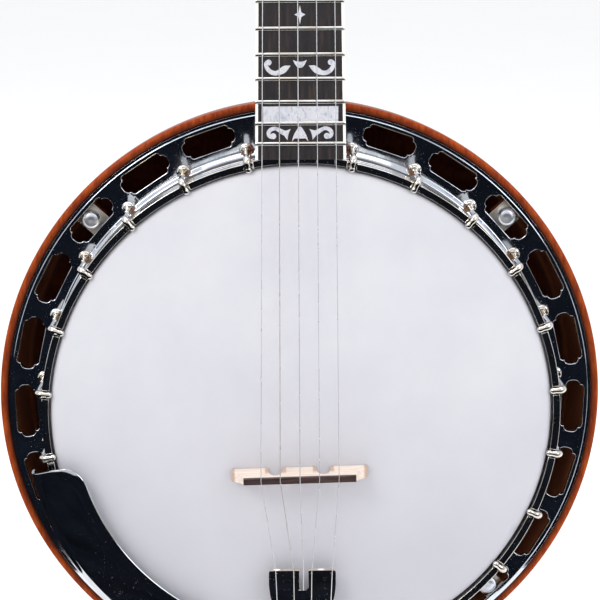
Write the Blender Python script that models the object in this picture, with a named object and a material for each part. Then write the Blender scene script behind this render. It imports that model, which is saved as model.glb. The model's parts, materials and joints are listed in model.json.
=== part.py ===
"""Five-string resonator banjo, built piece by piece.

Metres, +Z up the neck, the head faces -Y, +X to the right as one looks at the head.
The origin is on the pot's centre plane, at the nut, on the fretboard's surface.
The pot's axis is parallel to Y, and the neck tilts back from it.
"""

from math import cos, pi, radians, sin, tan

import bmesh
import bpy
from mathutils import Matrix, Vector

MM = 0.001
GAP = 0.3 * MM

# Driving dimensions.
SCALE_LENGTH = 666.75 * MM
NECK_TILT = radians(3.0)
BRIDGE_HEIGHT = 16.0 * MM
BRIDGE_TURN = radians(-1.3)
BRIDGE_X = -1.2 * MM
HEAD_Y = -24.4 * MM
POT_Z = -632.75 * MM
BRIDGE_Z = -33.5 * MM

RING_STEPS = 48
HOOK_COUNT = 24
FIRST_HOOK = radians(11.5)
HOOK_PITCH = (2 * pi - 2 * FIRST_HOOK) / (HOOK_COUNT - 1)
HOOK_RADIUS = 148.3 * MM
ROD_RADIUS = 1.9 * MM
HOOK_SIDES = 6

HOLE_CENTRE = 158.7 * MM
HOLE_HALF_WIDTH = 6.2 * MM
SCREW_RADIUS = 159.0 * MM
SCREW_GAPS = (2, 8)

BOARD_THICKNESS = 5.5 * MM
BOARD_END = 488.4 * MM
FRET_COUNT = 22
FRET_HEIGHT = 1.0 * MM
NUT_LENGTH = 4.5 * MM
NUT_HEIGHT = 1.6 * MM

PEGHEAD_TILT = radians(13.0)
PEGHEAD_THICKNESS = 14.0 * MM
PEGHEAD_X = 3.8 * MM
PEG_PLACES = ((21.0, 42.0), (24.5, 98.0), (-24.5, 98.0), (-21.0, 42.0))
PEG_SIDES = 10

FIFTH_PEG_S = 142.0 * MM
FIFTH_PEG_DEPTH = 9.5 * MM
FIFTH_PIP_S = 163.0 * MM

# Strings 1 to 5: x at the nut (or pip), over the bridge and at the tailpiece, in mm.
STRING_RADIUS = 0.3 * MM
STRING_SIDES = 5
NUT_X = (16.7, 8.3, -0.75, -9.2, -17.2)
BRIDGE_STRING_X = (20.7, 9.8, -1.15, -12.2, -23.0)
TAIL_X = (17.0, 5.4, 0.6, -4.9, -15.1)


def clear_scene():
    for obj in list(bpy.data.objects):
        bpy.data.objects.remove(obj)


def material(name, colour, roughness, metallic=0.0):
    made = bpy.data.materials.new(name)
    made.use_nodes = True
    made.diffuse_color = (*colour, 1.0)
    shader = made.node_tree.nodes["Principled BSDF"]
    shader.inputs["Base Color"].default_value = (*colour, 1.0)
    shader.inputs["Roughness"].default_value = roughness
    shader.inputs["Metallic"].default_value = metallic
    return made


def frame(name, parent=None, location=(0, 0, 0), rotation=(0, 0, 0)):
    """An empty that other pieces are placed in."""
    empty = bpy.data.objects.new(name, None)
    bpy.context.scene.collection.objects.link(empty)
    empty.parent = parent
    empty.location = location
    empty.rotation_euler = rotation
    return empty


def finish_mesh(bm, name, sharp_angle=radians(35)):
    bmesh.ops.connect_verts_nonplanar(bm, angle_limit=radians(0.1), faces=bm.faces)
    bmesh.ops.recalc_face_normals(bm, faces=bm.faces)
    mesh = bpy.data.meshes.new(name)
    bm.to_mesh(mesh)
    bm.free()
    mesh.shade_smooth()
    mesh.set_sharp_from_angle(angle=sharp_angle)
    return mesh


def place(name, mesh, look=None, parent=None, location=(0, 0, 0), rotation=(0, 0, 0)):
    obj = bpy.data.objects.new(name, mesh)
    bpy.context.scene.collection.objects.link(obj)
    obj.parent = parent
    obj.location = location
    obj.rotation_euler = rotation
    if look and not mesh.materials:
        mesh.materials.append(look)
    return obj


def helper(name, mesh, parent=None, location=(0, 0, 0), rotation=(0, 0, 0)):
    """A hidden shape for a Boolean."""
    obj = place(name, mesh, None, parent, location, rotation)
    obj.hide_render = True
    obj.display_type = "WIRE"
    return obj


def combine(obj, other, operation="DIFFERENCE"):
    step = obj.modifiers.new(other.name, "BOOLEAN")
    step.operation = operation
    step.object = other
    step.solver = "EXACT"


def polar(radius, angle, depth=0.0):
    """A point in the pot's frame. The angle runs from +Z towards +X."""
    return Vector((radius * sin(angle), depth, radius * cos(angle)))


def hook_angle(index):
    return FIRST_HOOK + HOOK_PITCH * index


def gap_angle(index):
    """The middle of the gap after a hook."""
    return hook_angle(index + 0.5)


def add_ring(bm, points):
    return [bm.verts.new(point) for point in points]


def bridge_rings(bm, first, second):
    count = len(first)
    for i in range(count):
        j = (i + 1) % count
        bm.faces.new((first[i], first[j], second[j], second[i]))


def loft(rings, name):
    """A closed solid through rings with equal numbers of points, with flat ends."""
    bm = bmesh.new()
    made = [add_ring(bm, ring) for ring in rings]
    for first, second in zip(made, made[1:]):
        bridge_rings(bm, first, second)
    bm.faces.new(made[0])
    bm.faces.new(reversed(made[-1]))
    return finish_mesh(bm, name)


def revolve(outline, name, steps=RING_STEPS):
    """A closed outline of (radius, depth) in mm, turned about the local Y axis."""
    bm = bmesh.new()
    columns = []
    for radius, depth in outline:
        if radius == 0:
            columns.append([bm.verts.new((0, depth * MM, 0))])
        else:
            angles = [2 * pi * i / steps for i in range(steps)]
            columns.append(add_ring(bm, [polar(radius * MM, a, depth * MM) for a in angles]))
    for first, second in zip(columns, columns[1:] + columns[:1]):
        if len(first) == 1 and len(second) == 1:
            continue
        if len(first) > 1 and len(second) > 1:
            bridge_rings(bm, first, second)
            continue
        pole, ring = (first[0], second) if len(first) == 1 else (second[0], first)
        for i in range(steps):
            bm.faces.new((ring[i], ring[(i + 1) % steps], pole))
    return finish_mesh(bm, name)


def tube(path, sides, name):
    """A round rod along (point, radius) pairs. Two pairs at one point make a step."""
    points = [Vector(point) for point, _ in path]
    rings = []
    for i, (_, radius) in enumerate(path):
        before = next((p for p in reversed(points[:i]) if p != points[i]), points[i])
        after = next((p for p in points[i + 1 :] if p != points[i]), points[i])
        into = (points[i] - before).normalized()
        out = (after - points[i]).normalized()
        along = (into + out).normalized()
        side = along.cross(Vector((1, 0, 0))).normalized()
        up = side.cross(along)
        angles = [2 * pi * k / sides for k in range(sides)]
        rings.append([points[i] + radius * (cos(a) * up + sin(a) * side) for a in angles])
    return loft(rings, name)


def strap(stations, thickness, name):
    """A bent flat bar. Stations are (radius, depth, half width) in mm, across local X."""
    centres = [Vector((0, depth, radius)) * MM for radius, depth, _ in stations]
    rings = []
    for i, (_, _, half) in enumerate(stations):
        along = centres[min(i + 1, len(centres) - 1)] - centres[max(i - 1, 0)]
        normal = along.normalized().cross(Vector((1, 0, 0)))
        side = Vector((half * MM, 0, 0))
        out = normal * thickness * MM / 2
        middle = centres[i]
        rings.append([middle - side - out, middle + side - out, middle + side + out, middle - side + out])
    return loft(rings, name)


def block(low, high, name):
    """A box between two corners given in mm."""
    (x0, y0, z0), (x1, y1, z1) = low, high
    corners = [(x0, y0), (x1, y0), (x1, y1), (x0, y1)]
    rings = [[Vector((x, y, z)) * MM for x, y in corners] for z in (z0, z1)]
    return loft(rings, name)


def gather(meshes_and_places, name):
    """One mesh from several, each moved by its matrix."""
    bm = bmesh.new()
    for mesh, matrix in meshes_and_places:
        start = len(bm.verts)
        bm.from_mesh(mesh)
        bm.verts.ensure_lookup_table()
        bmesh.ops.transform(bm, matrix=matrix, verts=bm.verts[start:])
    return finish_mesh(bm, name)


def around(radius, angle, depth=0.0):
    """The matrix of a piece at a place round the pot, its local Z pointing outwards."""
    return Matrix.Translation(polar(radius, angle, depth)) @ Matrix.Rotation(angle, 4, "Y")


def screw_angles():
    return [side * gap_angle(index) for side in (1, -1) for index in SCREW_GAPS]


# The pot. Outlines are (radius, depth behind the head's face) in mm.


def make_head(pot, look):
    outline = [
        (0, 0),
        (137.6, 0),
        (139.9, 0.7),
        (140.9, 2.4),
        (141.2, 9.9),
        (143.8, 9.9),
        (143.8, 14.4),
        (140.2, 14.4),
        (140.2, 2.2),
        (139.2, 0.95),
        (137.4, 0.8),
        (0, 0.8),
    ]
    place("head", revolve(outline, "head"), look, pot)


def make_tone_ring(pot, look):
    outline = [
        (139.8, 2.6),
        (138.6, 1.15),
        (136.0, 1.6),
        (124.0, 5.2),
        (122.3, 7.5),
        (125.5, 21.5),
        (128.3, 21.5),
        (125.6, 9.0),
        (136.3, 5.2),
        (136.6, 25.7),
        (139.8, 25.7),
    ]
    place("tone_ring", revolve(outline, "tone_ring"), look, pot)


def make_rim(pot, look):
    outline = [
        (136.3, 10.0),
        (136.3, 26.0),
        (139.7, 26.0),
        (139.7, 38.6),
        (137.5, 38.6),
        (137.5, 64.0),
        (120.7, 64.0),
        (120.7, 21.8),
        (128.6, 21.8),
        (128.6, 10.0),
    ]
    place("rim", revolve(outline, "rim"), look, pot)


def make_tension_hoop(pot, look):
    outline = [
        (142.0, -1.0),
        (146.0, -1.0),
        (146.0, 14.4),
        (144.1, 14.4),
        (144.1, 9.6),
        (142.0, 9.6),
    ]
    hoop = place("tension_hoop", revolve(outline, "tension_hoop"), look, pot)
    notch = block((-2.3, -3.0, -4.0), (2.3, 1.6, 4.0), "notch")
    notches = [(notch, around(144.0 * MM, hook_angle(i))) for i in range(HOOK_COUNT)]
    neck_relief = block((-25.5, -3.0, -6.0), (25.5, 4.8, 10.0), "neck_relief")
    notches.append((neck_relief, around(142.0 * MM, 0)))
    combine(hoop, helper("hoop_cutter", gather(notches, "hoop_cutter"), pot))


def sound_hole(centre_angle):
    """A curved slot with a rounded bay at each end, as a cutter through the plate."""
    corner = HOLE_HALF_WIDTH / MM
    half = [(12.2, corner), (12.2, 3.8), (15.4, 2.4), (15.4, -2.4), (12.2, -3.8), (12.2, -corner)]
    outline = half + [(0.0, -corner)] + [(-t, -r) for t, r in half] + [(0.0, corner)]
    rings = []
    for depth in (30.0 * MM, 43.0 * MM):
        ring = [
            polar(HOLE_CENTRE + r * MM, centre_angle + t * MM / HOLE_CENTRE, depth) for t, r in outline
        ]
        rings.append(ring)
    return loft(rings, "sound_hole")


def make_flange(pot, look):
    outline = [
        (137.8, 39.0),
        (140.1, 39.0),
        (140.1, 34.0),
        (146.4, 34.0),
        (148.6, 35.4),
        (150.4, 36.7),
        (152.6, 37.4),
        (167.4, 36.8),
        (168.7, 38.4),
        (168.7, 41.5),
        (166.8, 41.5),
        (166.8, 39.3),
        (152.0, 39.6),
        (151.4, 46.0),
        (137.8, 46.0),
    ]
    flange = place("flange", revolve(outline, "flange"), look, pot)
    holes = [
        (sound_hole(side * gap_angle(i)), Matrix())
        for side in (1, -1)
        for i in range(HOOK_COUNT // 2 - 1)
    ]
    combine(flange, helper("sound_hole_cutter", gather(holes, "sound_hole_cutter"), pot))

    tab = block((-6.5, 43.0, -9.0), (6.5, 44.5, 5.0), "tab")
    tabs = [(tab, around(SCREW_RADIUS, angle)) for angle in screw_angles()]
    combine(flange, helper("bracket_tabs", gather(tabs, "bracket_tabs"), pot), "UNION")

    rod_hole = revolve([(0, 30), (2.5, 30), (2.5, 60), (0, 60)], "rod_hole", HOOK_SIDES)
    angles = [hook_angle(i) for i in range(HOOK_COUNT)] + [pi]
    drilled = [(rod_hole, around(HOOK_RADIUS, angle)) for angle in angles]
    drilled += [(rod_hole, around(SCREW_RADIUS, angle)) for angle in screw_angles()]
    combine(flange, helper("rod_hole_cutter", gather(drilled, "rod_hole_cutter"), pot))


def make_bracket_hooks(pot, look):
    """A hook lies in each notch of the hoop, and its nut draws on the flange from behind."""
    nut = 3.9 * MM
    path = [
        ((0, 60.0, 0), nut),
        ((0, 46.3, 0), nut),
        ((0, 46.3, 0), ROD_RADIUS),
        ((0, 2.6, 0), ROD_RADIUS),
        ((0, 0.3, -0.8), ROD_RADIUS),
        ((0, -0.6, -2.8), ROD_RADIUS),
        ((0, -0.6, -6.0), ROD_RADIUS),
    ]
    path = [(Vector(point) * MM, radius) for point, radius in path]
    mesh = tube(path, HOOK_SIDES, "bracket_hook")
    for i in range(HOOK_COUNT):
        angle = hook_angle(i)
        name = f"bracket_hook_{i + 1:02d}"
        place(name, mesh, look, pot, polar(HOOK_RADIUS, angle), (0, angle, 0))


def make_resonator(pot, neck, look):
    outline = [
        (169.1, 37.8),
        (172.6, 37.6),
        (173.6, 38.7),
        (173.3, 48.0),
        (172.2, 62.0),
        (170.4, 76.0),
        (168.0, 89.0),
        (165.0, 97.0),
        (150.0, 100.5),
        (100.0, 105.0),
        (50.0, 107.0),
        (0, 107.6),
        (0, 101.6),
        (50.0, 101.0),
        (100.0, 99.0),
        (150.0, 94.6),
        (159.0, 91.5),
        (162.8, 86.0),
        (165.4, 66.0),
        (166.2, 42.2),
        (169.1, 42.2),
    ]
    resonator = place("resonator", revolve(outline, "resonator"), look, pot)
    lug = block((-7.0, 45.5, -5.5), (7.0, 52.0, 8.5), "lug")
    lugs = [(lug, around(SCREW_RADIUS, angle)) for angle in screw_angles()]
    combine(resonator, helper("lug_blocks", gather(lugs, "lug_blocks"), pot), "UNION")
    screw_hole = revolve([(0, 40), (2.2, 40), (2.2, 60), (0, 60)], "screw_hole", 8)
    holes = [(screw_hole, around(SCREW_RADIUS, angle)) for angle in screw_angles()]
    combine(resonator, helper("screw_hole_cutter", gather(holes, "screw_hole_cutter"), pot))
    combine(resonator, helper("heel_notch", neck_shaft(0.5, 1.4, "heel_notch"), neck))


def make_thumbscrews(pot, look):
    outline = [(0, 36.6), (4.6, 36.6), (5.2, 37.4), (5.2, 42.7), (1.9, 42.7), (1.9, 54.0), (0, 54.0)]
    mesh = revolve(outline, "resonator_thumbscrew", 10)
    for i, angle in enumerate(screw_angles()):
        name = f"resonator_thumbscrew_{i + 1}"
        place(name, mesh, look, pot, polar(SCREW_RADIUS, angle), (0, angle, 0))


def make_coordinator_rod(pot, look):
    outline = [
        (0, -119.8),
        (9.0, -119.8),
        (9.0, -111.0),
        (4.75, -111.0),
        (4.75, 108.0),
        (8.0, 108.0),
        (8.0, 119.8),
        (0, 119.8),
    ]
    mesh = revolve(outline, "coordinator_rod", 10)
    place("coordinator_rod", mesh, look, pot, (0, 54.0 * MM, 0), (pi / 2, 0, 0))


def make_tailpiece(pot, look):
    stations = [
        (88.3, -8.6, 19.1),
        (97.0, -8.9, 19.1),
        (108.0, -8.9, 17.5),
        (126.0, -8.3, 12.0),
        (144.0, -6.4, 9.5),
        (150.5, -5.0, 9.0),
        (152.6, -1.5, 9.0),
        (152.6, 27.0, 9.0),
        (151.2, 31.0, 9.0),
        (148.4, 32.6, 9.0),
        (143.6, 32.8, 9.0),
    ]
    tailpiece = place("tailpiece", strap(stations, 1.6, "tailpiece"), look, pot, rotation=(0, pi, 0))
    # Local X is mirrored here, so the gap between the front lobes is at -0.85.
    slot = block((-3.5, -14.0, 80.0), (1.8, -4.0, 95.0), "slot")
    combine(tailpiece, helper("tailpiece_slot", slot, tailpiece))
    outline = [
        (0, 30.6),
        (4.0, 30.6),
        (4.0, 32.6),
        (2.0, 32.6),
        (2.0, 46.3),
        (3.9, 46.3),
        (3.9, 56.0),
        (0, 56.0),
    ]
    bolt = revolve(outline, "hanger_bolt", 8)
    combine(tailpiece, helper("hanger_bolt", bolt, tailpiece, (0, 0, HOOK_RADIUS)), "UNION")


def make_armrest(pot, look):
    """A plate arched over the hoop, with two claws that grip the hoop's lower edge."""
    first, last = radians(-101.5), radians(-161.5)
    # How much of the full width each station has, and the section from the outer edge inwards.
    widths = (0.47, 0.78, 0.95, 1.0, 1.0, 1.0, 1.0, 0.95, 0.78, 0.47)
    places = (0.0, 0.02, 0.06, 0.12, 0.35, 0.65, 0.88, 0.94, 0.98, 1.0)
    section = [
        (155.2, 0.5),
        (155.0, -4.5),
        (153.8, -7.9),
        (151.0, -9.3),
        (138.0, -9.7),
        (131.0, -9.2),
        (127.2, -8.2),
    ]
    thickness = 1.5
    wall = 1.3
    rings = []
    for width, place_along in zip(widths, places):
        angle = first + (last - first) * place_along
        upper = []
        lower = []
        for radius, depth in section:
            inwards = 150.0 + (radius - 150.0) * width if radius < 150.0 else radius
            sink = 0.0 if width > 0.9 else 1.0 - width
            height = min(depth + 2.0 * sink, 0.5)
            under = inwards - wall if radius > 152.0 else inwards
            upper.append(polar(inwards * MM, angle, height * MM))
            lower.append(polar(under * MM, angle, (height + thickness) * MM))
        rings.append(upper + lower[::-1])
    armrest = place("armrest", loft(rings, "armrest"), look, pot)
    claw = strap(
        [(153.0, -6.0, 4.0), (153.0, 13.5, 4.0), (151.8, 15.6, 4.0), (145.4, 15.7, 4.0)], 1.5, "claw"
    )
    claws = [(claw, around(0, -gap_angle(index))) for index in (7, 9)]
    combine(armrest, helper("armrest_claws", gather(claws, "armrest_claws"), pot), "UNION")


def make_bridge(pot, look):
    """Three feet and two arches, thick at the feet and thin under the strings."""
    arch = [(13.5 + 4.1 * cos(a), 8.0 * sin(a)) for a in [pi * i / 6 for i in range(7)]]
    right = [(38.6, 0), (38.6, 3.0), (32.6, 10.5), (31.6, 13.0), (31.6, 16.0)]
    outline = [(-x, h) for x, h in arch] + arch[::-1] + right + [(-x, h) for x, h in right[::-1]]
    rings = []
    for side in (-1, 1):
        ring = []
        for x, height in outline:
            half = 3.35 - 0.1 * height
            ring.append(Vector((x, -height, side * half)) * MM)
        rings.append(ring)
    mesh = loft(rings, "bridge")
    place("bridge", mesh, look, pot, (BRIDGE_X, -GAP, BRIDGE_Z), (0, BRIDGE_TURN, 0))


# The neck. s runs down the neck from the nut, and h is the height over the fretboard.


def treble_edge(s):
    return 19.7 * MM + 0.0113 * s


def bass_edge(s, start, end):
    """The bass side steps out for the fifth string between start and end."""
    inner = -12.1 * MM - 0.0113 * s
    outer = -19.1 * MM - 0.01135 * s
    share = min(max((s - start) / (end - start), 0.0), 1.0)
    share = share * share * (3 - 2 * share)
    return inner + (outer - inner) * share


def neck_shaft(side_gap, back_gap, name):
    """The neck's shaft and heel, grown by two gaps in mm when it serves as a cutter."""
    # s, depth behind the fretboard, and the share of the width that the heel keeps, in mm.
    stations = [
        (-22.0, 9.5, 0.84),
        (-10.0, 13.0, 0.97),
        (0.0, 14.3, 1.0),
        (60.0, 14.8, 1.0),
        (118.0, 15.4, 1.0),
        (130.0, 15.6, 1.0),
        (142.0, 15.8, 1.0),
        (156.0, 16.0, 1.0),
        (300.0, 17.5, 1.0),
        (425.0, 19.8, 1.0),
        (441.0, 22.5, 1.0),
        (450.0, 28.5, 0.99),
        (456.0, 37.5, 0.96),
        (461.0, 48.0, 0.93),
        (468.0, 57.0, 0.9),
        (480.0, 60.0, 0.88),
        (505.0, 60.0, 0.88),
    ]
    top = BOARD_THICKNESS + GAP
    rings = []
    for s_mm, thickness_mm, share in stations:
        s = s_mm * MM
        right = treble_edge(s) + side_gap * MM
        left = bass_edge(s, 108.0 * MM, 146.0 * MM) - side_gap * MM
        middle = (right + left) / 2
        half = (right - left) / 2 * share
        deep = (thickness_mm + back_gap) * MM
        # A deep section is a narrow U, and a shallow one a full D.
        power = 0.62 if thickness_mm < 25 else 0.85
        front = top - (12.0 * MM if back_gap else 0.0)
        ring = [Vector((middle + half, front, -s)), Vector((middle - half, front, -s))]
        for i in range(9):
            a = pi * i / 8
            across = -cos(a)
            bulge = max(sin(a), 0.0) ** power
            narrow = 1.0 - 0.45 * bulge if thickness_mm > 25 else 1.0
            y = top + 1.0 * MM + (deep - 1.0 * MM) * bulge
            ring.append(Vector((middle + half * across * narrow, y, -s)))
        rings.append(ring)
    return loft(rings, name)


def make_neck(neck, peghead, pot, look):
    shaft = place("neck", neck_shaft(0, 0, "neck"), look, neck)
    half = [
        (17.0, 0.0),
        (17.6, 8.0),
        (23.0, 17.0),
        (30.0, 27.0),
        (33.0, 40.0),
        (32.6, 60.0),
        (33.6, 80.0),
        (37.0, 100.0),
        (39.0, 116.0),
        (37.6, 132.0),
        (30.0, 143.0),
        (18.0, 149.0),
    ]
    outline = half + [(0.0, 152.0)] + [(-x, u) for x, u in half[::-1]]
    rings = [[Vector((x * MM, y, u * MM)) for x, u in outline] for y in (0.0, PEGHEAD_THICKNESS)]
    combine(shaft, helper("peghead_board", loft(rings, "peghead_board"), peghead), "UNION")

    bore = revolve([(0, -5), (5.0, -5), (5.0, 30), (0, 30)], "peg_bore", PEG_SIDES)
    bores = [(bore, Matrix.Translation(Vector((x, 0, u)) * MM)) for x, u in PEG_PLACES]
    combine(shaft, helper("peg_bores", gather(bores, "peg_bores"), peghead))

    socket = revolve([(0, 9.6), (3.9, 9.6), (3.9, 32), (0, 32)], "fifth_peg_socket", PEG_SIDES)
    combine(shaft, helper("fifth_peg_socket", socket, neck, fifth_peg_place(), (0, 0, pi / 2)))

    # Clearance for the hoop, the rim and the flange, which slides into a slot in the heel.
    outline = [
        (0, -30.0),
        (146.4, -30.0),
        (146.4, 15.4),
        (140.1, 15.4),
        (140.1, 33.4),
        (146.8, 33.4),
        (149.2, 34.8),
        (151.0, 35.8),
        (153.0, 36.2),
        (169.2, 36.2),
        (169.2, 46.6),
        (138.0, 46.6),
        (138.0, 90.0),
        (0, 90.0),
    ]
    combine(shaft, helper("pot_clearance", revolve(outline, "pot_clearance"), pot))


def fret_place(number):
    return SCALE_LENGTH * (1 - 2 ** (-number / 12))


def make_fretboard(neck, look):
    """One solid: the board, its frets in their slots and the nut against its end."""
    stations = [(BOARD_END, 0.0)]
    stations += [(s * MM, 0.0) for s in (150.0, 154.0, 158.0)]
    for number in range(1, FRET_COUNT + 1):
        s = fret_place(number)
        foot, crown = 1.1 * MM, 0.5 * MM
        stations += [(s - foot, 0.0), (s - crown, FRET_HEIGHT), (s + crown, FRET_HEIGHT), (s + foot, 0.0)]
    nut = [(-NUT_LENGTH, NUT_HEIGHT), (-0.1 * MM, NUT_HEIGHT), (0.0, 0.0)]
    stations = nut + sorted(stations)
    rings = []
    for s, height in stations:
        right = treble_edge(s)
        left = bass_edge(s, 149.0 * MM, 162.0 * MM)
        ring = [
            Vector((left, -height, -s)),
            Vector((right, -height, -s)),
            Vector((right, BOARD_THICKNESS, -s)),
            Vector((left, BOARD_THICKNESS, -s)),
        ]
        rings.append(ring)
    place("fretboard", loft(rings, "fretboard"), look, neck)


# The tuners.


def button(start, name):
    """A tuner's oval button and its stem. Stations are (depth, half width, half thickness)."""
    stations = [
        (0.0, 2.9, 2.9),
        (8.0, 2.9, 2.9),
        (8.4, 4.4, 3.6),
        (11.5, 9.4, 4.4),
        (16.0, 10.4, 4.6),
        (20.0, 8.6, 4.0),
        (21.8, 4.5, 2.4),
    ]
    rings = []
    for depth, wide, thick in stations:
        angles = [2 * pi * i / PEG_SIDES for i in range(PEG_SIDES)]
        rings.append([Vector((wide * sin(a), start + depth, thick * cos(a))) * MM for a in angles])
    return loft(rings, name)


def make_tuners(peghead, steel, pearl):
    body_outline = [
        (3.3, -2.6),
        (6.0, -2.6),
        (7.2, -1.4),
        (7.2, -0.3),
        (4.7, -0.3),
        (4.7, 14.3),
        (9.0, 14.3),
        (9.0, 24.5),
        (6.4, 27.0),
        (3.3, 27.0),
    ]
    post_outline = [
        (0, -17.5),
        (2.4, -17.5),
        (3.0, -16.6),
        (2.5, -12.0),
        (2.5, -8.0),
        (3.0, -4.0),
        (3.0, 19.7),
        (0, 19.7),
    ]
    body = revolve(body_outline, "tuner_body", PEG_SIDES)
    post = revolve(post_outline, "tuner_post", PEG_SIDES)
    knob = button(20.0, "tuner_knob")
    for i, (x, u) in enumerate(PEG_PLACES):
        axis = frame(f"tuner_axis_{i + 1}", peghead, Vector((x, 0, u)) * MM)
        place(f"tuner_body_{i + 1}", body, steel, axis)
        place(f"tuner_post_{i + 1}", post, steel, axis)
        place(f"tuner_knob_{i + 1}", knob, pearl, axis)


def fifth_peg_place():
    return Vector((0, FIFTH_PEG_DEPTH, -FIFTH_PEG_S))


def make_fifth_tuner(neck, steel, pearl):
    """A fixed core carries the turning sleeve, with the gear housing outside it."""
    axis = frame("fifth_tuner_axis", neck, fifth_peg_place(), (0, 0, pi / 2))
    body_outline = [
        (0, 10.0),
        (3.6, 10.0),
        (3.6, 22.4),
        (1.9, 22.4),
        (1.9, 32.4),
        (7.0, 32.4),
        (7.0, 41.0),
        (3.3, 41.0),
        (3.3, 37.4),
        (0, 37.4),
    ]
    post_outline = [(2.2, 22.7), (3.9, 22.7), (3.3, 25.0), (3.3, 29.5), (3.9, 32.1), (2.2, 32.1)]
    place("fifth_tuner_body", revolve(body_outline, "fifth_tuner_body", PEG_SIDES), steel, axis)
    place("fifth_tuner_post", revolve(post_outline, "fifth_tuner_post", PEG_SIDES), steel, axis)
    place("fifth_tuner_knob", button(37.7, "fifth_tuner_knob"), pearl, axis)


def make_strings(pot, neck, peghead, look):
    """Each string runs from the tailpiece over the bridge and the nut to its post."""
    bpy.context.view_layer.update()
    over = STRING_RADIUS + GAP
    post_side = 2.5 * MM + STRING_RADIUS + 0.2 * MM
    for i in range(5):
        tail_x = TAIL_X[i] * MM
        bridge_x = BRIDGE_STRING_X[i] * MM
        bridge_z = BRIDGE_Z - (bridge_x - BRIDGE_X) * tan(BRIDGE_TURN)
        ends = [
            pot.matrix_world @ Vector((tail_x * 0.92, -9.3 * MM - over, -122.0 * MM)),
            pot.matrix_world @ Vector((tail_x, -9.7 * MM - over, -88.0 * MM)),
            pot.matrix_world @ Vector((bridge_x, -BRIDGE_HEIGHT - GAP - over, bridge_z)),
        ]
        if i < 4:
            x, u = PEG_PLACES[i]
            inwards = -post_side if x > 0 else post_side
            ends += [
                neck.matrix_world @ Vector((NUT_X[i] * MM, -NUT_HEIGHT - over, NUT_LENGTH / 2)),
                peghead.matrix_world @ Vector((x * MM + inwards, -9.0 * MM, u * MM)),
            ]
        else:
            ends += [
                neck.matrix_world @ Vector((NUT_X[i] * MM, -NUT_HEIGHT - over, -FIFTH_PIP_S)),
                neck.matrix_world @ Vector((-27.2 * MM, FIFTH_PEG_DEPTH - 3.9 * MM, -FIFTH_PEG_S)),
            ]
        mesh = tube([(point, STRING_RADIUS) for point in ends], STRING_SIDES, f"string_{i + 1}")
        place(f"string_{i + 1}", mesh, look)


def main():
    clear_scene()
    chrome = material("nickel_plate", (0.78, 0.78, 0.8), 0.12, 1.0)
    bronze = material("tone_ring_plate", (0.8, 0.72, 0.5), 0.25, 1.0)
    steel = material("string_steel", (0.7, 0.7, 0.7), 0.25, 1.0)
    stained = material("resonator_wood", (0.42, 0.13, 0.04), 0.2)
    neck_wood = material("neck_wood", (0.33, 0.12, 0.05), 0.3)
    rim_wood = material("rim_wood", (0.5, 0.28, 0.14), 0.4)
    board_wood = material("fretboard_wood", (0.05, 0.035, 0.03), 0.4)
    bridge_wood = material("bridge_wood", (0.8, 0.66, 0.46), 0.5)
    film = material("head_film", (0.86, 0.86, 0.9), 0.6)
    pearl = material("pearl_button", (0.88, 0.86, 0.8), 0.25)

    pot = frame("pot_frame", None, (0, HEAD_Y, POT_Z))
    neck = frame("neck_frame", None, rotation=(-NECK_TILT, 0, 0))
    peghead = frame("peghead_frame", neck, (PEGHEAD_X, 1.0 * MM, 6.0 * MM), (-PEGHEAD_TILT, 0, 0))

    make_head(pot, film)
    make_tone_ring(pot, bronze)
    make_rim(pot, rim_wood)
    make_tension_hoop(pot, chrome)
    make_flange(pot, chrome)
    make_bracket_hooks(pot, chrome)
    make_resonator(pot, neck, stained)
    make_thumbscrews(pot, chrome)
    make_coordinator_rod(pot, chrome)
    make_tailpiece(pot, chrome)
    make_armrest(pot, chrome)
    make_bridge(pot, bridge_wood)
    make_neck(neck, peghead, pot, neck_wood)
    make_fretboard(neck, board_wood)
    make_tuners(peghead, chrome, pearl)
    make_fifth_tuner(neck, chrome, pearl)
    make_strings(pot, neck, peghead, steel)


main()
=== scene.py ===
"""The finished look of the five-string resonator banjo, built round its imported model.

Shapes are drawn in mm and become objects in metres. The pot's frame has its origin at the
middle of the head's face, with Y running back into the pot and angles from +Z towards +X.
The neck's frame has its origin at the nut on the fretboard's surface: s runs down the neck
and h stands out from the board. The peghead's frame tilts back from the neck's.
"""

import json
from math import asin, cos, pi, radians, sin, sqrt

import bmesh
import bpy
from mathutils import Matrix, Quaternion, Vector
from mathutils.geometry import delaunay_2d_cdt


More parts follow.
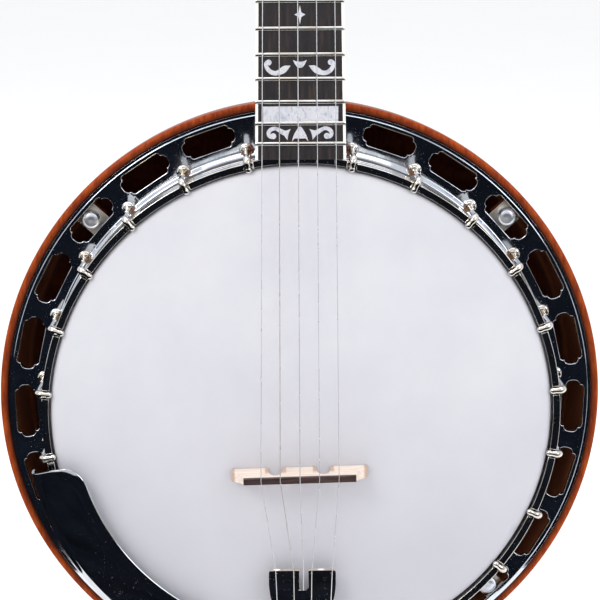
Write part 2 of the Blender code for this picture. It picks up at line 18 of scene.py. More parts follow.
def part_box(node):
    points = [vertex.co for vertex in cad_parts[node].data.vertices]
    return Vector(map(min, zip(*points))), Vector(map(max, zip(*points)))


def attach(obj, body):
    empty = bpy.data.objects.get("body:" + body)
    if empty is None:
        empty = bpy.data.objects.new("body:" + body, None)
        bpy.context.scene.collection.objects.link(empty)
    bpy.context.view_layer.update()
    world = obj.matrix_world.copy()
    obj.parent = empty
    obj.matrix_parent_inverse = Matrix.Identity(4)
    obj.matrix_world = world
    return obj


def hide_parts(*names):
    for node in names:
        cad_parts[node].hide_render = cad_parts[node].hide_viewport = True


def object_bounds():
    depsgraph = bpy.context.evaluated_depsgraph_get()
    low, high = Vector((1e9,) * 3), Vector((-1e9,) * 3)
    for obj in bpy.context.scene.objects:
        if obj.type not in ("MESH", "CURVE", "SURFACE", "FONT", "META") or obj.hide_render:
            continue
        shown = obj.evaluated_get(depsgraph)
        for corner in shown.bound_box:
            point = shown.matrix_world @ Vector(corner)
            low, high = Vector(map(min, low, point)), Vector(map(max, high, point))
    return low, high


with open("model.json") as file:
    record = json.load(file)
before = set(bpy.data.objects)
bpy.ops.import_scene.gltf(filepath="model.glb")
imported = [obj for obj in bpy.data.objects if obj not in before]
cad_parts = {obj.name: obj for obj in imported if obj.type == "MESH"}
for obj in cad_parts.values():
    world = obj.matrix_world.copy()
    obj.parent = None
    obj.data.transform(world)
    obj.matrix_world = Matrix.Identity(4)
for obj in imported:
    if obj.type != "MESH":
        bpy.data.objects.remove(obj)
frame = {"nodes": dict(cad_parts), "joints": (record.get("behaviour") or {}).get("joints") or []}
cad_low, cad_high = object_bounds()

MM = 0.001
TO_MM = 1000.0

# The part's own driving dimensions, in mm.
SCALE_LENGTH = 666.75
NECK_TILT = radians(3.0)
PEGHEAD_TILT = radians(13.0)
PEGHEAD_PLACE = (3.8, 1.0, 6.0)
PEGHEAD_THICKNESS = 14.0
PEG_PLACES = ((21.0, 42.0), (24.5, 98.0), (-24.5, 98.0), (-21.0, 42.0))

HOOK_COUNT = 24
FIRST_HOOK = radians(11.5)
HOOK_PITCH = (2 * pi - 2 * FIRST_HOOK) / (HOOK_COUNT - 1)
HOOK_RADIUS = 148.3
HOLE_CENTRE = 158.7
SCREW_GAPS = (2, 8)
SCREW_RADIUS = 159.0

BOARD_THICKNESS = 5.5
BOARD_END = 488.4
BINDING = 1.5
FRET_COUNT = 22
FRET_HEIGHT = 1.0
NUT_LENGTH = 4.5
NUT_HEIGHT = 1.6
FIFTH_PEG_S = 142.0
FIFTH_PEG_DEPTH = 9.5
FIFTH_PIP_S = 163.0
BRIDGE_TURN = radians(-1.3)
BRIDGE_HEIGHT = 16.0

# Strings 1 to 5: x at the nut (or pip), over the bridge and at the tailpiece, and the radius.
NUT_X = (16.7, 8.3, -0.75, -9.2, -17.2)
BRIDGE_STRING_X = (20.7, 9.8, -1.15, -12.2, -23.0)
TAIL_X = (17.0, 5.4, 0.6, -4.9, -15.1)
STRING_RADII = (0.22, 0.23, 0.29, 0.26, 0.23)

head_low, head_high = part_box("head")
bridge_low, bridge_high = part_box("bridge")
POT = Matrix.Translation(((head_low.x + head_high.x) / 2, head_low.y, (head_low.z + head_high.z) / 2))
NECK = Matrix.Rotation(-NECK_TILT, 4, "X")
PEGHEAD = NECK @ Matrix.Translation(Vector(PEGHEAD_PLACE) * MM) @ Matrix.Rotation(-PEGHEAD_TILT, 4, "X")
BRIDGE_MIDDLE = (bridge_low + bridge_high) / 2
BRIDGE = Matrix.Translation((BRIDGE_MIDDLE.x, bridge_high.y, BRIDGE_MIDDLE.z)) @ Matrix.Rotation(
    BRIDGE_TURN, 4, "Y"
)
JOINTS = {joint["name"]: joint for joint in frame["joints"]}


# Outlines and points.


def polar(radius, angle, depth=0.0):
    """A point in the pot's frame."""
    return Vector((radius * sin(angle), depth, radius * cos(angle)))


def around(radius, angle, depth=0.0):
    """The matrix of a piece at a place round the pot, its local Z pointing outwards."""
    return Matrix.Translation(polar(radius, angle, depth)) @ Matrix.Rotation(angle, 4, "Y")


def hook_angle(index):
    return FIRST_HOOK + HOOK_PITCH * index


def gap_angle(index):
    """The middle of the gap after a hook."""
    return hook_angle(index + 0.5)


def spread(first, last, count):
    """Evenly spaced numbers, both ends included."""
    return [first + (last - first) * i / (count - 1) for i in range(count)]


def smoothstep(value, start, end):
    share = min(max((value - start) / (end - start), 0.0), 1.0)
    return share * share * (3 - 2 * share)


def soften(outline, reach, steps=3, closed=True):
    """Rounds the corners of an outline. A third value at a corner is its own reach."""
    corners = [Vector(corner[:2]) for corner in outline]
    count = len(corners)
    rounded = []
    for i, corner in enumerate(corners):
        own = outline[i][2] if len(outline[i]) > 2 else reach
        if own == 0 or (not closed and i in (0, count - 1)):
            rounded.append(tuple(corner))
            continue
        back = corners[i - 1] - corner
        on = corners[(i + 1) % count] - corner
        start = corner + back.normalized() * min(own, back.length * 0.49)
        end = corner + on.normalized() * min(own, on.length * 0.49)
        for t in spread(0.0, 1.0, steps + 1):
            rounded.append(tuple(start * (1 - t) ** 2 + corner * 2 * t * (1 - t) + end * t * t))
    return rounded


def curve_through(points, steps):
    """A smooth open curve through points of any dimension (Catmull-Rom)."""
    ends = [[2 * a - b for a, b in zip(points[0], points[1])]]
    ends.append([2 * a - b for a, b in zip(points[-1], points[-2])])
    whole = [ends[0], *points, ends[1]]
    made = []
    for i in range(1, len(whole) - 2):
        p, q, r, s = whole[i - 1 : i + 3]
        for step in range(steps):
            t = step / steps
            made.append(
                tuple(
                    0.5 * (
                        2 * b + (c - a) * t + (2 * a - 5 * b + 4 * c - d) * t**2
                        + (3 * b - a - 3 * c + d) * t**3
                    )
                    for a, b, c, d in zip(p, q, r, s)
                )
            )
    made.append(tuple(points[-1]))
    return made


def interpolate(stations, place):
    """The values at a place among stations sorted by their first number."""
    if place <= stations[0][0]:
        return stations[0][1:]
    for before, after in zip(stations, stations[1:]):
        if place <= after[0]:
            share = (place - before[0]) / (after[0] - before[0])
            return tuple(a + (b - a) * share for a, b in zip(before[1:], after[1:]))
    return stations[-1][1:]


def offset(outline, distance):
    """A closed outline moved outwards along its corners' normals."""
    points = [Vector(point) for point in outline]
    area = sum(a.x * b.y - b.x * a.y for a, b in zip(points, points[1:] + points[:1]))
    side = 1 if area > 0 else -1
    moved = []
    for i, point in enumerate(points):
        into = (point - points[i - 1]).normalized()
        out = (points[(i + 1) % len(points)] - point).normalized()
        normal = Vector((into.y + out.y, -into.x - out.x))
        if normal.length < 1e-9:
            normal = Vector((into.y, -into.x))
        normal.normalize()
        stretch = 1 / max(normal.dot(Vector((into.y, -into.x))), 0.5)
        moved.append(tuple(point + normal * side * distance * stretch))
    return moved


def inside(point, outline):
    x, y = point
    within = False
    for (x0, y0), (x1, y1) in zip(outline, outline[1:] + outline[:1]):
        if (y0 > y) != (y1 > y) and x < x0 + (y - y0) * (x1 - x0) / (y1 - y0):
            within = not within
    return within


def fill(outlines, holes=(), extra=()):
    """Triangles that cover the union of outlines, less the holes. Returns points and faces."""
    points, edges = [], []
    for outline in [*outlines, *holes]:
        start = len(points)
        points += [Vector(point) for point in outline]
        edges += [(start + i, start + (i + 1) % len(outline)) for i in range(len(outline))]
    points += [Vector(point) for point in extra]
    made, _, faces, *_ = delaunay_2d_cdt(points, edges, [], 0, 1e-5)
    kept = []
    for face in faces:
        middle = sum((made[i] for i in face), Vector((0, 0))) / len(face)
        if any(inside(middle, outline) for outline in outlines) and not any(
            inside(middle, hole) for hole in holes
        ):
            kept.append(tuple(face))
    return [tuple(point) for point in made], kept


# Shapes.


class Shape:
    """Points in mm and faces, gathered before they become one object."""

    def __init__(self):
        self.points = []
        self.faces = []

    def add(self, points, faces, matrix=None):
        start = len(self.points)
        for point in points:
            point = Vector(point)
            self.points.append(matrix @ point if matrix else point)
        self.faces += [tuple(start + i for i in face) for face in faces]
        return self

    def loft(self, rings, matrix=None, capped=True, closed=False):
        """Faces between rings with equal numbers of points. Closed joins the last ring to the first."""
        size = len(rings[0])
        points = [point for ring in rings for point in ring]
        faces = []
        for i in range(len(rings) if closed else len(rings) - 1):
            first, second = i * size, (i + 1) % len(rings) * size
            for k in range(size):
                j = (k + 1) % size
                faces.append((first + k, first + j, second + j, second + k))
        if capped and not closed:
            faces.append(tuple(range(size)))
            faces.append(tuple(reversed(range(len(points) - size, len(points)))))
        return self.add(points, faces, matrix)

    def turn(self, outline, steps=32, matrix=None, knurl=0.0, teeth=0):
        """Turns a closed (radius, depth) outline about Y. Knurling cuts teeth into its widest part."""
        widest = max(radius for radius, _ in outline)
        points, columns, faces = [], [], []
        for radius, depth in outline:
            if radius < 1e-6:
                columns.append([len(points)] * steps)
                points.append((0, depth, 0))
                continue
            columns.append(list(range(len(points), len(points) + steps)))
            for i in range(steps):
                angle = 2 * pi * i / steps
                cut = knurl * (0.5 + 0.5 * cos(angle * teeth)) if radius > widest - 0.25 else 0.0
                points.append(polar(radius - cut, angle, depth))
        for first, second in zip(columns, columns[1:] + columns[:1]):
            for i in range(steps):
                j = (i + 1) % steps
                face = []
                for corner in (first[i], first[j], second[j], second[i]):
                    if corner not in face:
                        face.append(corner)
                if len(face) > 2:
                    faces.append(tuple(face))
        return self.add(points, faces, matrix)

    def rod(self, path, sides=12, matrix=None, round_ends=True):
        """A round rod along (point, radius) pairs."""
        stations = [(Vector(point), radius) for point, radius in path]
        if round_ends:
            for end in (0, -1):
                point, radius = stations[end]
                away = (point - stations[1 if end == 0 else -2][0]).normalized()
                caps = [
                    (point + away * radius * sin(a), max(radius * cos(a), radius * 0.06))
                    for a in (radians(30), radians(60), radians(86))
                ]
                stations = caps[::-1] + stations if end == 0 else stations + caps
        rings = []
        normal = None
        for i, (point, radius) in enumerate(stations):
            before = stations[max(i - 1, 0)][0]
            after = stations[min(i + 1, len(stations) - 1)][0]
            along = (after - before).normalized()
            if normal is None:
                normal = along.orthogonal().normalized()
            else:
                normal = (normal - along * normal.dot(along)).normalized()
            side = along.cross(normal)
            angles = [2 * pi * k / sides for k in range(sides)]
            rings.append([point + radius * (cos(a) * normal + sin(a) * side) for a in angles])
        return self.loft(rings, matrix)

    def slab(self, outline, low, high, round_off=0.0, matrix=None, steps=2):
        """A flat plate between two depths along Y. The outline's points are (x, z)."""
        levels = [(low, 0.0), (high, 0.0)]
        if round_off:
            arc = [(round_off * (1 - sin(a)), round_off * (1 - cos(a))) for a in spread(0, pi / 2, steps + 1)]
            levels = [(low + depth, -inset) for inset, depth in arc]
            levels += [(high - depth, -inset) for inset, depth in arc[::-1]]
        rings = []
        for y, distance in levels:
            moved = offset(outline, distance) if distance else outline
            rings.append([(x, y, z) for x, z in moved])
        return self.loft(rings, matrix)

    def plate(self, filled, low, high, matrix=None):
        """A flat plate from fill()'s points and faces, between two depths along Y."""
        flat, triangles = filled
        count = len(flat)
        points = [(x, low, z) for x, z in flat] + [(x, high, z) for x, z in flat]
        faces = list(triangles) + [tuple(count + i for i in reversed(face)) for face in triangles]
        sides = {}
        for face in triangles:
            for a, b in zip(face, face[1:] + face[:1]):
                if (b, a) in sides:
                    del sides[(b, a)]
                else:
                    sides[(a, b)] = True
        faces += [(b, a, a + count, b + count) for a, b in sides]
        return self.add(points, faces, matrix)

    def mesh(self, name):
        mesh = bpy.data.meshes.new(name)
        mesh.from_pydata([point * MM for point in self.points], [], self.faces)
        bm = bmesh.new()
        bm.from_mesh(mesh)
        bmesh.ops.remove_doubles(bm, verts=bm.verts, dist=1e-7)
        loose = [vert for vert in bm.verts if not vert.link_faces]
        bmesh.ops.delete(bm, geom=loose, context="VERTS")
        bmesh.ops.recalc_face_normals(bm, faces=bm.faces)
        bm.to_mesh(mesh)
        bm.free()
        return mesh


def show(
    name, shape, look, place, slot=None, stands_for=(), body="root", sharp=35, cutters=(), weighted=False
):
    """Makes one piece of the object from a shape or a mesh, and lets it ride on its body."""
    mesh = shape.mesh(name) if isinstance(shape, Shape) else shape
    piece = bpy.data.objects.new(name, mesh)
    bpy.context.scene.collection.objects.link(piece)
    piece.matrix_world = place
    if cutters:
        carve(piece, cutters)
    piece.data.materials.clear()
    piece.data.materials.append(look)
    piece.data.shade_smooth()
    piece.data.set_sharp_from_angle(angle=radians(sharp))
    if weighted:
        flats = piece.modifiers.new("flat_faces", "WEIGHTED_NORMAL")
        flats.keep_sharp = True
    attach(piece, body)
    if stands_for:
        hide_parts(*stands_for)
    return piece


def carve(piece, cutters):
    """Cuts shapes out of a piece, or joins them to it. Cutters are (shape, place, operation)."""
    helpers = []
    for shape, place, operation in cutters:
        helper = bpy.data.objects.new("helper", shape.mesh("helper"))
        bpy.context.scene.collection.objects.link(helper)
        helper.matrix_world = place
        step = piece.modifiers.new("cut", "BOOLEAN")
        step.operation = operation
        step.solver = "EXACT"
        step.object = helper
        helpers.append(helper)
    bpy.context.view_layer.update()
    graph = bpy.context.evaluated_depsgraph_get()
    carved = bpy.data.meshes.new_from_object(piece.evaluated_get(graph))
    piece.modifiers.clear()
    piece.data = carved
    for helper in helpers:
        bpy.data.objects.remove(helper)


# Materials.


class Look:
    """A Principled material, with short ways to add the nodes that drive it."""

    def __init__(self, name, **values):
        self.material = bpy.data.materials.new(name)
        self.material.use_nodes = True
        self.nodes = self.material.node_tree.nodes
        self.links = self.material.node_tree.links
        self.shader = self.nodes["Principled BSDF"]
        for socket, value in values.items():
            self.shader.inputs[socket.replace("_", " ")].default_value = value
        self.place = self.add("TexCoord").outputs["Object"]

    def add(self, kind, inputs=None, **settings):
        node = self.nodes.new("ShaderNode" + kind)
        for name, value in settings.items():
            setattr(node, name, value)
        for name, value in (inputs or {}).items():
            if isinstance(value, bpy.types.NodeSocket):
                self.links.new(value, node.inputs[name])
            else:
                node.inputs[name].default_value = value
        return node

    def stretch(self, scale, source=None):
        return self.add("Mapping", {"Vector": source or self.place, "Scale": scale}).outputs["Vector"]

    def noise(self, scale, stretch=None, detail=3.0, rough=0.5, distortion=0.0):
        vector = self.stretch(stretch) if stretch else self.place
        inputs = {"Vector": vector, "Scale": scale, "Detail": detail, "Roughness": rough}
        return self.add("TexNoise", inputs | {"Distortion": distortion}).outputs["Fac"]

    def ramp(self, source, *stops):
        """A colour ramp through (place, colour) stops. A plain number is a grey."""
        node = self.add("ValToRGB", {"Fac": source})
        elements = node.color_ramp.elements
        while len(elements) < len(stops):
            elements.new(0.5)
        for element, (place, colour) in zip(elements, stops):
            element.position = place
            element.color = (colour,) * 3 + (1.0,) if isinstance(colour, float) else (*colour, 1.0)
        return node.outputs["Color"]

    def mix(self, share, first, second, blend="MIX"):
        node = self.add("Mix", data_type="RGBA", blend_type=blend)
        for index, value in ((0, share), (6, first), (7, second)):
            if isinstance(value, bpy.types.NodeSocket):
                self.links.new(value, node.inputs[index])
            else:
                node.inputs[index].default_value = value if index == 0 else (*value, 1.0)
        return node.outputs[2]

    def math(self, operation, first, second=0.0):
        node = self.add("Math", operation=operation)
        for index, value in enumerate((first, second)):
            if isinstance(value, bpy.types.NodeSocket):
                self.links.new(value, node.inputs[index])
            else:
                node.inputs[index].default_value = value
        return node.outputs[0]

    def part(self, axis, source=None):
        return self.add("SeparateXYZ", {"Vector": source or self.place}).outputs[axis]

    def drive(self, socket, source):
        self.links.new(source, self.shader.inputs[socket])
        return self

    def bump(self, height, distance_mm, strength=1.0):
        node = self.add("Bump", {"Height": height, "Distance": distance_mm * MM, "Strength": strength})
        return self.drive("Normal", node.outputs["Normal"])


def plated(name, bright, dull, rough, specks, metal=1.0):
    """Plating with a cloudy tarnish, fine scratches and dust specks; metal below 1 adds plain paint."""
    look = Look(name, Metallic=metal)
    cloud = look.ramp(look.noise(70, detail=5), (0.42, 0.0), (0.72, 1.0))
    dust = look.ramp(look.noise(1300, detail=2), (0.69, 0.0), (0.75, 1.0))
    colour = look.mix(cloud, bright, dull)
    look.drive("Base Color", look.mix(look.math("MULTIPLY", dust, 0.5), colour, (0.80, 0.84, 0.90)))
    haze = look.math("MULTIPLY_ADD", cloud, rough)
    haze.node.inputs[2].default_value = rough * 0.6
    look.drive("Roughness", look.math("ADD", haze, look.math("MULTIPLY", dust, specks)))
    return look.bump(look.noise(420, detail=4), 0.012, 0.5).material


def stained(name, dark, middle, light, grain_axis=(1.0, 1.0, 0.16), rim=False):
    """Figured wood under a red-brown stain and a glossy lacquer. A rim look darkens inwards, with painted
    shade next to the flange and in the hollow back.
    """
    look = Look(
        name, Roughness=0.42, Specular_IOR_Level=0.08 if rim else 0.3, Coat_Weight=0.5,
        Coat_Roughness=0.07
    )
    grain = look.noise(520, grain_axis, detail=6, rough=0.62)
    figure = look.noise(34, (0.5, 0.5, 2.4), detail=3, distortion=1.4)
    pores = look.ramp(look.noise(2600, (1.0, 1.0, 0.05), detail=2), (0.3, 0.0), (0.42, 1.0))
    tone = look.math("ADD", look.math("MULTIPLY", grain, 0.5), look.math("MULTIPLY", figure, 0.5))
    colour = look.ramp(tone, (0.34, dark), (0.5, middle), (0.66, light))
    colour = look.mix(look.math("MULTIPLY", look.math("SUBTRACT", 1.0, pores), 0.45), colour, dark)
    if rim:
        x, z = look.part("X"), look.part("Z")
        radius = look.math("SQRT", look.math("ADD", look.math("MULTIPLY", x, x), look.math("MULTIPLY", z, z)))
        depth = look.part("Y")

        def fade(value, start, end):
            return look.add("MapRange", {"Value": value, "From Min": start, "From Max": end}).outputs[0]

        # The front edge is light outside and dark next to the flange; that dark band is painted shade, for
        # the shade where the edge turns in towards the flange.
        edge = fade(radius, 0.1696, 0.1722)
        burst = look.math("MULTIPLY", edge, fade(depth, 0.080, 0.046))
        streak = look.ramp(grain, (0.35, (0.180, 0.022, 0.003)), (0.62, (0.365, 0.060, 0.005)))
        colour = look.mix(look.math("MULTIPLY", burst, 0.85), colour, streak)
        front = fade(depth, 0.045, 0.040)
        # Painted shade: the inner part of the front face, next to the flange, is painted dark.
        inner = look.math("MULTIPLY", look.math("SUBTRACT", 1.0, edge), front)
        colour = look.mix(look.math("MULTIPLY", inner, 0.85), colour, (0.085, 0.016, 0.006))
        # Inside, the side wall is bare and tan, and the back is painted dark as painted shade in the hollow.
        wall = look.math("MULTIPLY", fade(radius, 0.1575, 0.1605), fade(radius, 0.1669, 0.1666))
        wall = look.math("MULTIPLY", wall, fade(depth, 0.0925, 0.0915))
        wall = look.math("MULTIPLY", wall, fade(depth, 0.0416, 0.0420))
        colour = look.mix(look.math("MULTIPLY", wall, 0.8), colour, (0.330, 0.120, 0.060))
        facing = look.part("Y", look.place.node.outputs["Normal"])
        # Painted shade: the inside of the back, in the hollow behind the flange, is painted nearly black.
        floor = look.math("MULTIPLY", fade(facing, -0.3, -0.6), fade(depth, 0.086, 0.090))
        colour = look.mix(look.math("MULTIPLY", floor, 0.75), colour, (0.022, 0.010, 0.009))
        # The coat is strong on the back and weak on the side and the edge.
        look.drive("Coat Weight", look.math("ADD", 0.1, look.math("MULTIPLY", fade(facing, 0.4, 0.9), 0.8)))
    look.drive("Base Color", colour)
    return look.bump(tone, 0.02, 0.25).material


def pearl(name):
    """Nacre: broad folded bands and fine ripples of white, blue-grey and rose."""
    look = Look(name, Roughness=0.22, Coat_Weight=0.6, Coat_Roughness=0.06)
    folds = look.noise(160, (1.0, 1.0, 0.6), detail=3, distortion=2.5)
    ripple = look.noise(900, (1.0, 1.0, 0.35), detail=4, distortion=1.0)
    tone = look.math("ADD", look.math("MULTIPLY", folds, 0.7), look.math("MULTIPLY", ripple, 0.3))
    colour = look.ramp(
        tone,
        (0.30, (0.30, 0.32, 0.40)), (0.43, (0.46, 0.48, 0.54)), (0.52, (0.60, 0.60, 0.64)),
        (0.62, (0.52, 0.49, 0.53)), (0.75, (0.68, 0.69, 0.73)),
    )
    look.drive("Base Color", colour)
    return look.bump(ripple, 0.01, 0.4).material


def make_looks():
    looks = {}
    looks["nickel"] = plated("nickel_plate", (0.80, 0.79, 0.78), (0.60, 0.54, 0.46), 0.05, 0.3)
    looks["satin"] = plated("satin_nickel", (0.74, 0.68, 0.60), (0.60, 0.52, 0.42), 0.42, 0.1)
    looks["screw"] = plated("screw_nickel", (0.74, 0.78, 0.86), (0.60, 0.63, 0.70), 0.45, 0.1)
    looks["flange"] = plated("flange_nickel", (0.68, 0.72, 0.79), (0.50, 0.54, 0.62), 0.07, 0.3)
    looks["armrest"] = plated("armrest_nickel", (0.60, 0.63, 0.66), (0.48, 0.50, 0.52), 0.08, 0.2)
    looks["tone_ring"] = plated("tone_ring_bronze", (0.78, 0.66, 0.42), (0.55, 0.42, 0.24), 0.14, 0.2)
    looks["steel"] = plated("string_steel", (0.68, 0.68, 0.71), (0.64, 0.64, 0.67), 0.3, 0.05, 0.5)
    looks["wound"] = plated("wound_string", (0.62, 0.59, 0.57), (0.50, 0.46, 0.44), 0.3, 0.05, 0.5)

    looks["resonator"] = stained(
        "resonator_wood", (0.090, 0.014, 0.005), (0.270, 0.040, 0.008), (0.440, 0.095, 0.016), rim=True
    )
    looks["neck"] = stained("neck_wood", (0.060, 0.014, 0.006), (0.180, 0.036, 0.010), (0.290, 0.072, 0.018))

    look = Look("rim_wood", Roughness=0.45)
    grain = look.noise(300, (0.2, 1.0, 0.2), detail=5)
    look.drive("Base Color", look.ramp(grain, (0.3, (0.24, 0.10, 0.045)), (0.7, (0.42, 0.21, 0.10))))
    looks["rim"] = look.bump(grain, 0.03, 0.5).material

    look = Look("fretboard_wood", Roughness=0.42)
    streaks = look.noise(420, (1.0, 1.0, 0.07), detail=6, rough=0.65)
    patches = look.noise(60, (1.0, 1.0, 0.5), detail=2)
    pores = look.ramp(look.noise(3000, (1.0, 1.0, 0.06), detail=2), (0.34, 1.0), (0.44, 0.0))
    colour = look.ramp(
        streaks, (0.34, (0.008, 0.007, 0.009)), (0.52, (0.020, 0.014, 0.014)),
        (0.7, (0.060, 0.030, 0.022))
    )
    colour = look.mix(look.math("MULTIPLY", patches, 0.5), colour, (0.012, 0.012, 0.018))
    look.drive("Base Color", look.mix(look.math("MULTIPLY", pores, 0.7), colour, (0.004, 0.003, 0.003)))
    look.drive("Roughness", look.ramp(streaks, (0.3, 0.35), (0.7, 0.5)))
    looks["board"] = look.bump(look.math("SUBTRACT", 1.0, pores), 0.03, 0.5).material

    look = Look("veneer_black", Roughness=0.25, Coat_Weight=1.0, Coat_Roughness=0.04)
    haze = look.noise(900, (1.0, 1.0, 0.1), detail=3)
    look.drive("Base Color", look.ramp(haze, (0.3, (0.006, 0.006, 0.008)), (0.7, (0.020, 0.018, 0.020))))
    looks["veneer"] = look.material

    look = Look("ivory_binding", Roughness=0.35)
    tone = look.noise(140, detail=4)
    look.drive("Base Color", look.ramp(tone, (0.3, (0.80, 0.77, 0.72)), (0.7, (0.88, 0.86, 0.83))))
    looks["binding"] = look.bump(look.noise(900, detail=2), 0.01, 0.3).material

    looks["pearl"] = pearl("pearl")

    look = Look("bridge_maple", Roughness=0.5)
    grain = look.noise(900, (0.12, 1.0, 1.0), detail=5)
    flecks = look.ramp(look.noise(1500, (0.4, 1.0, 1.0), detail=2), (0.62, 0.0), (0.7, 1.0))
    colour = look.ramp(grain, (0.3, (0.70, 0.56, 0.47)), (0.7, (0.84, 0.74, 0.66)))
    colour = look.mix(look.math("MULTIPLY", flecks, 0.25), colour, (0.50, 0.30, 0.18))
    # Painted shade: each foot is darker low down at its ends, beside the arches.
    across = look.math("ABSOLUTE", look.part("X"))
    low = look.add("MapRange", {"Value": look.part("Y"), "From Min": -0.010, "From Max": -0.006}).outputs[0]
    for foot_end in (0.0376, 0.0184, 0.0086):
        away = look.math("ABSOLUTE", look.math("SUBTRACT", across, foot_end))
        arch_shade = look.add("MapRange", {"Value": away, "From Min": 0.0015, "From Max": 0.0006}).outputs[0]
        share = look.math("MULTIPLY", look.math("MULTIPLY", arch_shade, low), 0.6)
        colour = look.mix(share, colour, (0.34, 0.17, 0.09))
    look.drive("Base Color", colour)
    looks["maple"] = look.bump(grain, 0.02, 0.4).material

    look = Look("bridge_ebony", Roughness=0.4)
    grain = look.noise(700, (0.1, 1.0, 1.0), detail=5)
    look.drive("Base Color", look.ramp(grain, (0.3, (0.020, 0.010, 0.010)), (0.7, (0.075, 0.040, 0.036))))
    looks["ebony"] = look.bump(grain, 0.02, 0.4).material

    looks["film"] = head_film()
    return looks


def head_film():
    """A frosted head, faintly clouded, with a few small smudges where fingers have rested."""
    look = Look("head_film", Roughness=0.62)
    cloud = look.noise(16, detail=5, rough=0.6)
    frost = look.noise(2200, detail=2)
    colour = look.ramp(cloud, (0.3, (0.530, 0.528, 0.575)), (0.7, (0.585, 0.582, 0.620)))
    smudge = look.ramp(look.noise(38, detail=1), (0.205, 1.0), (0.24, 0.0))
    colour = look.mix(look.math("MULTIPLY", smudge, 0.25), colour, (0.36, 0.36, 0.44))
    # Painted shade: the lower half of the film is greyer, where less light falls.
    painted_shade_below = look.add("MapRange", {"Value": look.part("Z"), "From Min": 0.050, "From Max": -0.120}).outputs[0]
    colour = look.mix(look.math("MULTIPLY", painted_shade_below, 0.5), colour, (0.340, 0.338, 0.385))
    look.drive("Base Color", colour)
    look.drive("Roughness", look.ramp(frost, (0.3, 0.55), (0.7, 0.72)))
    return look.bump(frost, 0.02, 0.35).material


looks = make_looks()


# The pot.


def ring(outline, name, look, steps=240, **options):
    return show(name, Shape().turn(outline, steps), look, POT, **options)


def make_head():
    outline = [
        (0, 0), (60, 0), (110, 0), (134, 0), (137.6, 0), (138.9, 0.2), (139.9, 0.75), (140.6, 1.5),
        (140.9, 2.4), (141.2, 9.9), (143.6, 9.9), (143.8, 10.2), (143.8, 14.4), (140.2, 14.4),
        (140.2, 2.2), (139.2, 0.95), (137.4, 0.8), (110, 0.8), (60, 0.8), (0, 0.8),
    ]
    ring(outline, "head_film", looks["film"], 192, stands_for=["head"], slot="head_film")


def make_tension_hoop():
    """The hoop has a rounded notch for each hook, a relief under the neck and two grooves outside."""
    relief = asin(25.5 / 144.0)
    stations = []
    for i in range(HOOK_COUNT):
        middle = hook_angle(i)
        for lean in (-0.0190, -0.0172, -0.0160, -0.0150, 0.0150, 0.0160, 0.0172, 0.0190):
            depth = {0.0190: -1.0, 0.0172: -0.8, 0.0160: 1.4, 0.0150: 1.6}[abs(lean)]
            stations.append((middle + lean, depth))
        if i < HOOK_COUNT - 1:
            stations += [(middle + HOOK_PITCH * t, -1.0) for t in spread(0.12, 0.88, 9)]
    stations.append((2 * pi - relief - 0.002, -1.0))
    stations.append((2 * pi - relief, -0.8))
    stations += [(2 * pi + angle, 4.8) for angle in spread(-relief + 0.001, relief - 0.001, 13)]
    stations.append((2 * pi + relief, -0.8))
    stations.append((2 * pi + relief + 0.002, -1.0))
    rings = []
    for angle, front in stations:
        outline = [
            (142.0, front), (146.0, front), (146.0, 5.4, 0.1), (145.6, 5.7, 0.1), (145.6, 6.2, 0.1),
            (146.0, 6.5, 0.1), (146.0, 12.0, 0.1), (145.7, 12.3, 0.1), (145.7, 12.7, 0.1),
            (146.0, 13.0, 0.1), (146.0, 14.4), (144.1, 14.4), (144.1, 9.6, 0.05), (142.0, 9.6),
        ]
        rings.append([polar(radius, angle, depth) for radius, depth in soften(outline, 0.45)])
    shape = Shape().loft(rings, closed=True)
    show("tension_hoop", shape, looks["nickel"], POT, "nickel_plate", ["tension_hoop"], weighted=True)


def hole_outline():
    """One sound hole: straight sides, and a scalloped bay at each end. (along, outwards) in mm."""
    half = [
        (11.4, 6.2, 0.7), (12.5, 5.0, 0.5), (12.2, 3.9, 0.25), (13.5, 3.8, 0.8), (15.0, 2.6, 1.0),
        (15.4, 0.0, 1.2),
    ]
    right = half + [(t, -r, c) for t, r, c in half[-2::-1]]
    return soften(right + [(-t, -r, c) for t, r, c in right], 0.5, steps=3)


